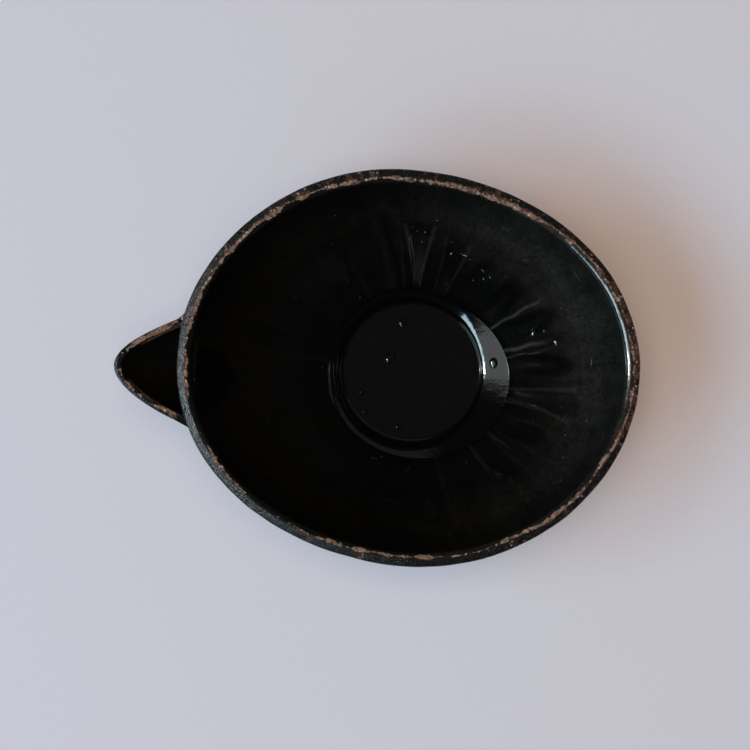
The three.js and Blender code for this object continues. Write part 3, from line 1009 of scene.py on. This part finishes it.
def buildGlazeSkin():
    # The uneven skin of a thick glaze: slow waves, orange peel and a few pits.
    tree, given, wanted = newGroup("glazeSkin", ("Place", "Waves", "Peel"), ("Height", "Mottle"))
    waves = fractalNoise(tree, given["Place"], 130.0, 2.0)
    peel = fractalNoise(tree, given["Place"], 950.0, 3.0)
    cells = addNode(tree, "ShaderNodeTexVoronoi", {"Vector": given["Place"], "Scale": 420.0})
    pit = smoothStep(tree, cells.outputs["Distance"], 0.12, 0.0)
    height = multiply(tree, waves, given["Waves"])
    height = multiplyAdd(tree, peel, given["Peel"], height)
    tree.links.new(multiplyAdd(tree, pit, -0.08, height), wanted["Height"])
    inputs = {0: given["Place"], 1: (1, 1, 0.35)}
    lowered = addNode(tree, "ShaderNodeVectorMath", inputs, operation="MULTIPLY").outputs[0]
    broad = fractalNoise(tree, lowered, 160.0, 4.0, 0.6)
    fine = fractalNoise(tree, lowered, 900.0, 4.0, 0.7)
    tree.links.new(multiplyAdd(tree, fine, 0.6, multiply(tree, broad, 0.4)), wanted["Mottle"])
    return tree


def buildRustBreak():
    # Where the glaze has run thin over an edge and turned to rust: a ragged, wandering line along the crest,
    # flecks on the slope outside it, and paler lumps in both.
    inputs = ("Place", "Across", "Flow", "Crest", "Outer", "Seam", "Stroke")
    tree, given, wanted = newGroup("rustBreak", inputs, ("Rust", "Tone", "Pale", "Grain"))
    wander = fractalNoise(tree, given["Flow"], 75.0, 2.0)
    swell = fractalNoise(tree, given["Flow"], 190.0, 3.0, 0.6)
    ragged = fractalNoise(tree, given["Place"], 1000.0, 4.0, 0.65)
    middle = multiplyAdd(tree, wander, 3.0, -1.55)
    near = calculate(tree, "ABSOLUTE", calculate(tree, "SUBTRACT", given["Across"], middle))
    width = multiplyAdd(tree, swell, 3.4, multiplyAdd(tree, given["Crest"], 1.5, -2.4))
    width = calculate(tree, "MINIMUM", width, 1.1)
    width = multiplyAdd(tree, ragged, 1.5, calculate(tree, "SUBTRACT", width, 0.75))
    crest = smoothStep(tree, calculate(tree, "SUBTRACT", width, near), -0.1, 0.2)
    fleck = fractalNoise(tree, given["Place"], 420.0, 5.0, 0.7)
    outward = smoothStep(tree, given["Across"], 0.2, 0.9)
    closeBy = smoothStep(tree, given["Across"], 5.5, 3.0)
    level = multiplyAdd(tree, given["Outer"], -0.3, 0.72)
    spots = smoothStep(tree, calculate(tree, "SUBTRACT", fleck, level), -0.02, 0.07)
    line = multiply(tree, given["Seam"], smoothStep(tree, ragged, 0.35, 0.6))
    beyond = multiply(tree, calculate(tree, "MAXIMUM", spots, line), outward)
    onCrest = smoothStep(tree, given["Crest"], -4.0, -2.0)
    beyond = multiply(tree, beyond, multiply(tree, closeBy, onCrest))
    drawn = multiply(tree, given["Stroke"], smoothStep(tree, ragged, 0.3, 0.5))
    rust = calculate(tree, "MAXIMUM", calculate(tree, "MAXIMUM", crest, beyond), drawn)
    tree.links.new(rust, wanted["Rust"])
    patches = fractalNoise(tree, given["Flow"], 360.0, 4.0, 0.6)
    tone = multiplyAdd(tree, ragged, 0.5, multiply(tree, patches, 0.55))
    tree.links.new(multiplyAdd(tree, outward, -0.13, tone), wanted["Tone"])
    lumps = addNode(tree, "ShaderNodeTexVoronoi", {"Vector": given["Place"], "Scale": 900.0}).outputs
    pale = smoothStep(tree, lumps["Distance"], 0.42, 0.12)
    chosen = addNode(tree, "ShaderNodeSeparateColor", {"Color": lumps["Color"]}).outputs[0]
    tree.links.new(multiply(tree, pale, smoothStep(tree, chosen, 0.6, 0.72)), wanted["Pale"])
    tree.links.new(ragged, wanted["Grain"])
    return tree


glazeSkin = buildGlazeSkin()
rustBreak = buildRustBreak()


def newMaterial(name):
    material = bpy.data.materials.new(name)
    material.use_nodes = True
    tree = material.node_tree
    return material, tree, tree.nodes["Principled BSDF"]


def attribute(tree, name, output="Fac"):
    return addNode(tree, "ShaderNodeAttribute", attribute_name=name).outputs[output]


def connectBump(tree, shader, height, strength, distance):
    inputs = {"Height": height, "Strength": strength, "Distance": distance}
    tree.links.new(addNode(tree, "ShaderNodeBump", inputs).outputs[0], shader.inputs["Normal"])


glaze = {
    "pooled": (0.0015, 0.0018, 0.0018, 1),
    # the pale colour of thin glaze also paints the lit side of the wall and the ridge highlight streaks
    "thin": (0.062, 0.059, 0.046, 1),
    "brown": (0.045, 0.034, 0.018, 1),
    "rimDark": (0.004, 0.0045, 0.004, 1),
    "rimGrey": (0.024, 0.024, 0.021, 1),
    "rustDark": (0.062, 0.031, 0.019, 1),
    "rustLight": (0.34, 0.215, 0.142, 1),
    "rustPale": (0.6, 0.49, 0.41, 1),
    "gloss": 0.1,
    "thinGloss": 0.2,
    "dullGloss": 0.42,  # how much rougher the wall by the spout is
    "rimGloss": 0.26,
    "rustGloss": 0.33,
    "refraction": 1.52,
}


def blackGlaze(name, broken=True):
    material, tree, shader = newMaterial(name)
    place = addNode(tree, "ShaderNodeTexCoord").outputs["Object"]
    flow = attribute(tree, "flow", "Vector")
    uneven = {"Place": place, "Waves": 0.6, "Peel": 0.16}
    skinNode = addNode(tree, "ShaderNodeGroup", uneven, node_tree=glazeSkin)
    mottle = skinNode.outputs["Mottle"]
    height = skinNode.outputs["Height"]
    # This attribute pales the glaze where it runs thin, and also paints light: the wall side facing the lamps
    # and some ridge streaks are made paler.
    thin = attribute(tree, "thin")
    patchy = multiplyAdd(tree, mottle, 2.2, -0.55)
    if broken:
        streaks = fractalNoise(tree, attribute(tree, "run", "Vector"), 1.0, 4.0, 0.6)
        patchy = multiplyAdd(tree, streaks, 0.7, calculate(tree, "SUBTRACT", patchy, 0.35))
    cover = calculate(tree, "MINIMUM", multiply(tree, calculate(tree, "MAXIMUM", patchy, 0.0), thin), 1.0)
    warmth = smoothStep(tree, fractalNoise(tree, place, 75.0, 3.0), 0.5, 0.95)
    body = blend(tree, cover, glaze["pooled"], blend(tree, warmth, glaze["thin"], glaze["brown"]))
    roughness = multiplyAdd(tree, cover, glaze["thinGloss"] - glaze["gloss"], glaze["gloss"])
    if broken:
        roughness = multiplyAdd(tree, attribute(tree, "dull"), glaze["dullGloss"], roughness)
        inputs = {
            "Place": place,
            "Across": attribute(tree, "acrossRim"),
            "Flow": flow,
            "Crest": attribute(tree, "crestRust"),
            "Outer": attribute(tree, "outerRust"),
            "Seam": attribute(tree, "seam"),
            "Stroke": attribute(tree, "stroke"),
        }
        breaks = addNode(tree, "ShaderNodeGroup", inputs, node_tree=rustBreak)
        onRim = smoothStep(tree, inputs["Across"], -0.2, 1.0)
        onRim = multiply(tree, onRim, smoothStep(tree, inputs["Across"], 9.0, 3.5))
        onRim = multiply(tree, onRim, smoothStep(tree, inputs["Crest"], -4.0, -1.0))
        speckle = fractalNoise(tree, place, 1700.0, 3.0, 0.7)
        greyed = blend(tree, smoothStep(tree, speckle, 0.42, 0.68), glaze["rimDark"], glaze["rimGrey"])
        body = blend(tree, onRim, body, greyed)
        rough = calculate(tree, "SUBTRACT", glaze["rimGloss"], roughness)
        roughness = multiplyAdd(tree, onRim, rough, roughness)
        tone = smoothStep(tree, breaks.outputs["Tone"], 0.4, 0.66)
        rusty = blend(tree, tone, glaze["rustDark"], glaze["rustLight"])
        rusty = blend(tree, breaks.outputs["Pale"], rusty, glaze["rustPale"])
        body = blend(tree, breaks.outputs["Rust"], body, rusty)
        worn = multiplyAdd(tree, breaks.outputs["Grain"], 0.9, glaze["rustGloss"] - 0.45)
        rough = calculate(tree, "SUBTRACT", worn, roughness)
        roughness = multiplyAdd(tree, breaks.outputs["Rust"], rough, roughness)
        lumpy = multiplyAdd(tree, breaks.outputs["Grain"], 1.3, multiply(tree, breaks.outputs["Pale"], 0.5))
        lumpy = multiplyAdd(tree, speckle, 0.4, lumpy)
        height = multiplyAdd(tree, breaks.outputs["Rust"], -0.3, height)
        height = multiplyAdd(tree, multiply(tree, lumpy, onRim), 1.0, height)
    tree.links.new(body, shader.inputs["Base Color"])
    tree.links.new(roughness, shader.inputs["Roughness"])
    shader.inputs["IOR"].default_value = glaze["refraction"]
    connectBump(tree, shader, height, 0.5, 0.0004)
    return material


clay = {
    "dark": (0.045, 0.026, 0.018, 1),
    "light": (0.11, 0.07, 0.048, 1),
    "rough": 0.82,
    "glazedRough": 0.14,
    "glazeFrom": 0.0052,  # the height where the glaze begins, and where it covers, in metres
    "glazeTo": 0.0062,
    "drip": 0.004,
}


def bareClay(name):
    material, tree, shader = newMaterial(name)
    place = addNode(tree, "ShaderNodeTexCoord").outputs["Object"]
    grain = fractalNoise(tree, place, 1500.0, 5.0, 0.7)
    cloud = fractalNoise(tree, place, 90.0, 3.0)
    body = blend(tree, grain, clay["dark"], clay["light"])
    height = addNode(tree, "ShaderNodeSeparateXYZ", {0: place}).outputs[2]
    drip = multiplyAdd(tree, cloud, clay["drip"], height)
    covered = smoothStep(tree, drip, clay["glazeFrom"], clay["glazeTo"])
    tree.links.new(blend(tree, covered, body, glaze["pooled"]), shader.inputs["Base Color"])
    roughness = multiplyAdd(tree, covered, clay["glazedRough"] - clay["rough"], clay["rough"])
    tree.links.new(roughness, shader.inputs["Roughness"])
    connectBump(tree, shader, grain, 0.4, 0.0002)
    return material


bowlGlaze = blackGlaze("bowlGlaze")
spoutGlaze = blackGlaze("spoutGlaze")
plainGlaze = blackGlaze("plainGlaze", broken=False)
footClay = bareClay("footClay")
for piece, material in (
    (bowlPiece, bowlGlaze),
    (spoutPiece, spoutGlaze),
    (spoutCoilPiece, plainGlaze),
    (footPiece, footClay),
    (footCoilPiece, plainGlaze),
):
    piece.data.materials.clear()
    piece.data.materials.append(material)
print("glazed")


# The camera stands over the bowl, a little to the right of it and towards the viewer

photo = {
    "side": 750,
    "bowlMiddle": (406.7, 367.4),
    "below": (450, 415),  # the pixel straight below the camera
    "perPixel": 150 / 465,  # at the height of the rim
    "height": 550,  # of the camera above the rim
}


def photoPlace(pixel, height):
    # The place under a pixel of the photograph, on the plane of the rim.
    x = (pixel[0] - photo["bowlMiddle"][0]) * photo["perPixel"]
    y = (photo["bowlMiddle"][1] - pixel[1]) * photo["perPixel"]
    return axis + Vector((x, y, height)) * mm


def addCamera():
    data = bpy.data.cameras.new("overhead")
    camera = addObject("overhead", data)
    camera.location = photoPlace(photo["below"], crestHeight + photo["height"])
    target = photoPlace((photo["side"] / 2, photo["side"] / 2), crestHeight)
    look = target - camera.location
    back = -look.normalized()
    right = Vector((0, 1, 0)).cross(back).normalized()
    turn = Matrix((right, back.cross(right), back)).transposed()
    camera.rotation_mode = "QUATERNION"
    camera.rotation_quaternion = turn.to_quaternion()
    data.sensor_width = 36
    width = photo["side"] * photo["perPixel"] * mm
    data.lens = data.sensor_width * look.length / width
    data.clip_start = 0.01
    data.clip_end = 20
    bpy.context.scene.camera = camera
    return camera


camera = addCamera()


# Beads of glaze: some at places seen in the photograph, and small ones strewn over the wall

beads = {
    # pixel, half its length and width in pixels, and the way it points in the picture
    "placed": [
        (124, 351.5, 3, 2.4, 60), (403, 323, 5, 3.6, 100), (391, 357, 7, 4.2, 65),
        (376.6, 454.6, 7, 6.2, 0), (407, 466, 5, 4, 90), (524, 262, 4.2, 3.8, 0),
        (576, 276, 9, 3.6, -58), (530, 333, 4.2, 4, 0), (553, 343, 4.2, 4, 0), (590, 363, 6.5, 3, 85),
        (452, 259, 6, 5, 80), (382.6, 212, 8, 6, 90), (493.5, 363, 5.5, 4.4, 90), (582, 392, 3.4, 3, 0),
        (362, 392, 3, 3, 0), (366, 412, 3.6, 2.8, 0), (399, 427, 3, 2.4, 0), (463, 255, 6, 1.5, -20),
        (475, 263, 7, 1.4, -38), (485, 273, 6, 1.6, -50), (491, 280, 4, 2.2, -62), (212, 398, 4, 2, 60),
        (222, 404, 4, 2, 120), (232, 388, 4, 1.8, -50), (299, 300, 5, 4, 0), (282, 256, 6, 5, 0),
        (270, 470, 7, 5, 20), (505, 230, 5, 3.6, -30), (536, 248, 3, 2, 20), (560, 480, 4, 3, 30),
        (606, 365, 3, 3, 0), (585, 420, 2.4, 4, 0), (438, 221, 2, 2, 0), (418.5, 232.5, 3, 2.2, 0),
        (425.5, 233, 2, 2, 0), (446, 285, 1.6, 1.6, 0), (333, 244, 1.6, 1.6, 0), (568, 318, 2, 2, 0),
        (581, 317.5, 2, 2, 0), (591, 321, 2, 2, 0), (603, 317, 2, 2, 0), (601, 324.6, 1.9, 1.9, 0),
        (544, 331, 2, 2, 0), (563, 457, 2.2, 1.6, 45), (602, 398, 1.5, 1.5, 0), (418, 487, 1.6, 1.6, 0),
        (435, 513, 1.4, 1.4, 0), (450, 534, 1.4, 1.4, 0), (205.4, 370.5, 1.9, 1.9, 0),
        (231, 364.5, 2, 2, 0), (237, 388, 2, 1.5, 60), (323, 367, 3.4, 2, 90),
        (179.7, 321, 2.6, 2.4, 0), (467, 461, 2, 1.6, 60), (471, 478, 1.5, 1.5, 0),
        (361, 297, 2.6, 2, 30), (508, 258, 1.6, 1.3, 50), (506, 277, 1.8, 1.5, 0),
    ],
    "flat": 0.34,  # height as a share of the width
    "density": 2200,  # strewn beads for each square metre of wall
    "size": 0.58,  # radius of a strewn bead, and how much it differs
    "spread": 0.5,
    # how many are wanted round the bowl, as a share of the density
    "around": ((0, 40, 70, 120, 250, 300, 330, 360), (1, 1, 0.6, 0.15, 0.12, 0.5, 0.9, 1)),
    "small": 2.2,  # half width in pixels below which a placed bead stands higher, and by how much
    "smallHigh": 2.4,
    "strewnHigh": 1.7,
    "seed": 11,
}


def pixelRay(pixel):
    # The way from the camera through a pixel of the photograph.
    half = camera.data.sensor_width / camera.data.lens / 2
    across = (pixel[0] / photo["side"] * 2 - 1) * half
    up = (1 - pixel[1] / photo["side"] * 2) * half
    return (camera.rotation_quaternion.to_matrix() @ Vector((across, up, -1))).normalized()


def hitUnder(pixel):
    best = None
    for piece in (bowlPiece, spoutPiece):
        found, place, normal, _ = piece.ray_cast(camera.location, pixelRay(pixel))
        if found and (best is None or (place - camera.location).length < (best[0] - camera.location).length):
            best = place, normal
    return best


def placedBeads():
    places, facings, alongs, sizes = [], [], [], []
    for x, y, long, wide, turn in beads["placed"]:
        place, normal = hitUnder((x, y))
        a = math.radians(turn)
        aside = hitUnder((x + 2 * math.cos(a), y - 2 * math.sin(a)))[0] - place
        aside = (aside - normal * aside.dot(normal)).normalized()
        scale = photo["perPixel"] * mm * (camera.location - place).length / (photo["height"] * mm)
        stretch = scale * 2 / max(0.5, (aside.dot(Vector((math.cos(a), math.sin(a), 0)))) * 2)
        places.append(place)
        facings.append(normal)
        alongs.append(aside)
        # The large ones lie flatter.
        flatter = min(1, 0.75 * mm / (wide * scale)) ** 0.5
        flat = beads["flat"] * (beads["smallHigh"] if wide < beads["small"] else flatter)
        sizes.append((long * stretch, wide * scale, flat * wide * scale))
    mesh = bpy.data.meshes.new("placedBeads")
    mesh.from_pydata(places, [], [])
    holder = addObject("placedBeads", mesh)
    for name, values in (("facing", facings), ("along", alongs), ("size", sizes)):
        setAttribute(holder, name, values, "FLOAT_VECTOR")
    return holder


def strewnGround():
    # The wall between the flutes and the rim, with more beads wanted on the right of the bowl.
    count, size = wallGrid.shape[:2]
    faces = []
    for row in range(count - 1):
        for i in range(size):
            j = (i + 1) % size
            faces.append([row * size + i, row * size + j, (row + 1) * size + j, (row + 1) * size + i])
    ground = makeMesh("strewnBeads", wallGrid.reshape(-1, 3), faces)
    wanted = np.interp(np.degrees(azimuths[:: bowl["gridStep"]]), *beads["around"])
    setAttribute(ground, "wanted", np.tile(wanted, count))
    return ground


def buildBeadTree():
    tree = bpy.data.node_groups.new("glazeBeads", "GeometryNodeTree")
    kinds = {
        "Ground": "Geometry",
        "Placed": "Object",
        "Density": "Float",
        "Size": "Float",
        "Spread": "Float",
        "Flat": "Float",
        "Seed": "Int",
        "Material": "Material",
    }
    sockets = {}
    for name, kind in kinds.items():
        made = tree.interface.new_socket(name, in_out="INPUT", socket_type="NodeSocket" + kind)
        sockets[name] = made.identifier
    tree.interface.new_socket("Beads", in_out="OUTPUT", socket_type="NodeSocketGeometry")
    given = tree.nodes.new("NodeGroupInput").outputs
    out = tree.nodes.new("NodeGroupOutput")

    def named(name, kind="FLOAT_VECTOR"):
        return addNode(tree, "GeometryNodeInputNamedAttribute", {"Name": name}, data_type=kind).outputs[0]

    def beadsOn(points, fineness, rotation, scale):
        inputs = {"Radius": 1.0, "Subdivisions": fineness}
        ball = addNode(tree, "GeometryNodeMeshIcoSphere", inputs).outputs["Mesh"]
        inputs = {"Points": points, "Instance": ball, "Rotation": rotation, "Scale": scale}
        return addNode(tree, "GeometryNodeInstanceOnPoints", inputs).outputs[0]

    # The strewn ones
    density = multiply(tree, named("wanted", "FLOAT"), given["Density"])
    inputs = {"Mesh": given["Ground"], "Density": density, "Seed": given["Seed"]}
    strewn = addNode(tree, "GeometryNodeDistributePointsOnFaces", inputs).outputs
    least = calculate(tree, "SUBTRACT", 1.0, given["Spread"])
    most = calculate(tree, "ADD", 1.0, given["Spread"])
    inputs = {2: least, 3: most, "Seed": given["Seed"]}
    size = addNode(tree, "FunctionNodeRandomValue", inputs, data_type="FLOAT").outputs[1]
    radius = multiply(tree, size, given["Size"])
    inputs = {0: radius, 1: radius, 2: multiply(tree, radius, given["Flat"])}
    shape = addNode(tree, "ShaderNodeCombineXYZ", inputs).outputs[0]
    first = beadsOn(strewn["Points"], 2, strewn["Rotation"], shape)

    # The placed ones
    inputs = {"Vector": named("facing")}
    upright = addNode(tree, "FunctionNodeAlignRotationToVector", inputs, axis="Z").outputs[0]
    inputs = {"Rotation": upright, "Vector": named("along")}
    turned = addNode(tree, "FunctionNodeAlignRotationToVector", inputs, axis="X", pivot_axis="Z").outputs[0]
    source = addNode(tree, "GeometryNodeObjectInfo", {"Object": given["Placed"]})
    points = addNode(tree, "GeometryNodeMeshToPoints", {"Mesh": source.outputs["Geometry"]}).outputs[0]
    second = beadsOn(points, 4, turned, named("size"))

    joined = addNode(tree, "GeometryNodeJoinGeometry")
    for part in (first, second):
        tree.links.new(part, joined.inputs[0])
    real = addNode(tree, "GeometryNodeRealizeInstances", {0: joined.outputs[0]})
    smooth = addNode(tree, "GeometryNodeSetShadeSmooth", {0: real.outputs[0]})
    inputs = {"Geometry": smooth.outputs[0], "Material": given["Material"]}
    coated = addNode(tree, "GeometryNodeSetMaterial", inputs)
    tree.links.new(coated.outputs[0], out.inputs[0])
    return tree, sockets


def makeBeads(material):
    ground, holder = strewnGround(), placedBeads()
    tree, sockets = buildBeadTree()
    values = {
        "Placed": holder,
        "Density": float(beads["density"]),
        "Size": beads["size"] * mm,
        "Spread": beads["spread"],
        "Flat": beads["flat"] * beads["strewnHigh"],
        "Seed": beads["seed"],
        "Material": material,
    }
    strew = ground.modifiers.new("beads", "NODES")
    strew.node_group = tree
    for name, value in values.items():
        strew[sockets[name]] = value
    bpy.context.view_layer.update()
    made = bpy.data.meshes.new_from_object(ground.evaluated_get(bpy.context.evaluated_depsgraph_get()))
    ground.modifiers.remove(strew)
    piece = addObject("glazeBeads", made)
    made.name = "glazeBeads"
    for spare in (ground, holder):
        bpy.data.objects.remove(spare)
    place = vertexPlaces(piece)
    # the beads take the same paleness, painted light on the lamp-facing side included
    setAttribute(piece, "thin", thinGlazeAndLitSide(place, np.arctan2(place[:, 1], place[:, 0])))
    print("beads:", len(made.polygons), "faces")
    return piece


bpy.context.view_layer.update()
beadPiece = makeBeads(plainGlaze)


# Floor, light and world

stage = {
    "floor": (0.75, 0.75, 0.77),
    "floorSize": 3.0,  # half of it, in metres
    "floorRough": 0.9,
    "floorShine": 0.2,
    "grain": 0.03,
    "threads": 3400,  # radians of weave per metre
    "weave": 0.012,
    "room": (1.0, 0.72, 0.57, 1),
    # how bright the room is for diffuse rays, for glossy rays and for the camera
    "roomLight": 0.09,
    "roomGloss": 0.02,
    "roomSeen": 0.6,
}
lamps = {
    # azimuth, elevation, distance and size in metres, power, colour and whether it shows in the glaze
    "fill": (0, 90, 2.6, (1.1, 1.1), 32, (1.0, 0.72, 0.57), False),
    "sky": (197, 57, 2.2, (1.5, 0.9), 28, (0.41, 0.71, 1.0), False),
    "skyBehind": (243, 52, 2.2, (0.9, 0.7), 2.4, (0.41, 0.71, 1.0), False),
    "window": (201, 47.5, 1.5, (0.84, 0.18), 7.4, (0.62, 0.87, 1.0), True),
    "gap": (181, 47, 1.3, (0.04, 0.08), 4, (1.0, 1.0, 1.0), True),
    "curtain": (189, 59, 1.5, (0.53, 0.5), 1.3, (0.95, 0.98, 1.0), True),
    "wallOpposite": (66, 61, 1.5, (1.2, 0.24), 0.145, (1.0, 1.0, 0.9), True),
    "ceiling": (0, 90, 2.2, (1.7, 1.7), 0.44, (0.9, 1.0, 0.97), True),
}


def addFloor():
    mesh = bpy.data.meshes.new("floor")
    far = stage["floorSize"]
    mesh.from_pydata([(-far, -far, 0), (far, -far, 0), (far, far, 0), (-far, far, 0)], [], [(0, 1, 2, 3)])
    floor = addObject("floor", mesh)
    material, tree, shader = newMaterial("paper")
    place = addNode(tree, "ShaderNodeTexCoord").outputs["Object"]
    grain = fractalNoise(tree, place, 700.0, 3.0)
    threads = []
    for way in ((1, 1, 0), (1, -1, 0)):
        dotted = addNode(tree, "ShaderNodeVectorMath", {0: place, 1: way}, operation="DOT_PRODUCT")
        threads.append(calculate(tree, "SINE", multiply(tree, dotted.outputs["Value"], stage["threads"])))
    weave = multiply(tree, *threads)
    shade = multiplyAdd(tree, grain, stage["grain"] * 2, 1 - stage["grain"])
    shade = multiplyAdd(tree, weave, stage["weave"], shade)
    inputs = {0: stage["floor"], "Scale": shade}
    tinted = addNode(tree, "ShaderNodeVectorMath", inputs, operation="SCALE")
    tree.links.new(tinted.outputs[0], shader.inputs["Base Color"])
    shader.inputs["Roughness"].default_value = stage["floorRough"]
    shader.inputs["Specular IOR Level"].default_value = stage["floorShine"]
    mesh.materials.append(material)
    floor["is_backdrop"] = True


def addLamp(name, azimuth, elevation, distance, size, power, colour, shows):
    data = bpy.data.lights.new(name, "AREA")
    data.shape = "RECTANGLE"
    data.size, data.size_y = size
    data.energy = power
    data.color = colour
    light = addObject(name, data)
    a, e = math.radians(azimuth), math.radians(elevation)
    offset = Vector((math.cos(a) * math.cos(e), math.sin(a) * math.cos(e), math.sin(e))) * distance
    light.location = axis + offset
    light.rotation_euler = (math.pi / 2 - e, 0, a + math.pi / 2)
    light.visible_glossy = shows
    light.visible_diffuse = not shows


def addWorld():
    world = bpy.data.worlds.new("room")
    bpy.context.scene.world = world
    world.use_nodes = True
    tree = world.node_tree
    background = tree.nodes["Background"]
    path = addNode(tree, "ShaderNodeLightPath").outputs
    light = stage["roomLight"]
    dimmed = multiplyAdd(tree, path["Is Glossy Ray"], stage["roomGloss"] - light, light)
    seen = multiplyAdd(tree, path["Is Camera Ray"], stage["roomSeen"] - light, dimmed)
    background.inputs["Color"].default_value = stage["room"]
    tree.links.new(seen, background.inputs["Strength"])


addFloor()
for name, lamp in lamps.items():
    addLamp(name, *lamp)
addWorld()
bpy.context.scene.view_settings.view_transform = "Standard"
print("lit")


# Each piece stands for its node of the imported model

for piece, node, slotName in (
    (bowlPiece, "bowl", "bowl_glaze"),
    (spoutPiece, "spout", "spout_glaze"),
    (spoutCoilPiece, "spout_seam_coil", "spout_seam_glaze"),
    (footPiece, "foot_ring", "foot_clay"),
    (footCoilPiece, "foot_seam_coil", "foot_seam_glaze"),
):
    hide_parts(node)
    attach(piece, "root")
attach(beadPiece, "root")

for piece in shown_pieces():
    print(piece)
print("finished")
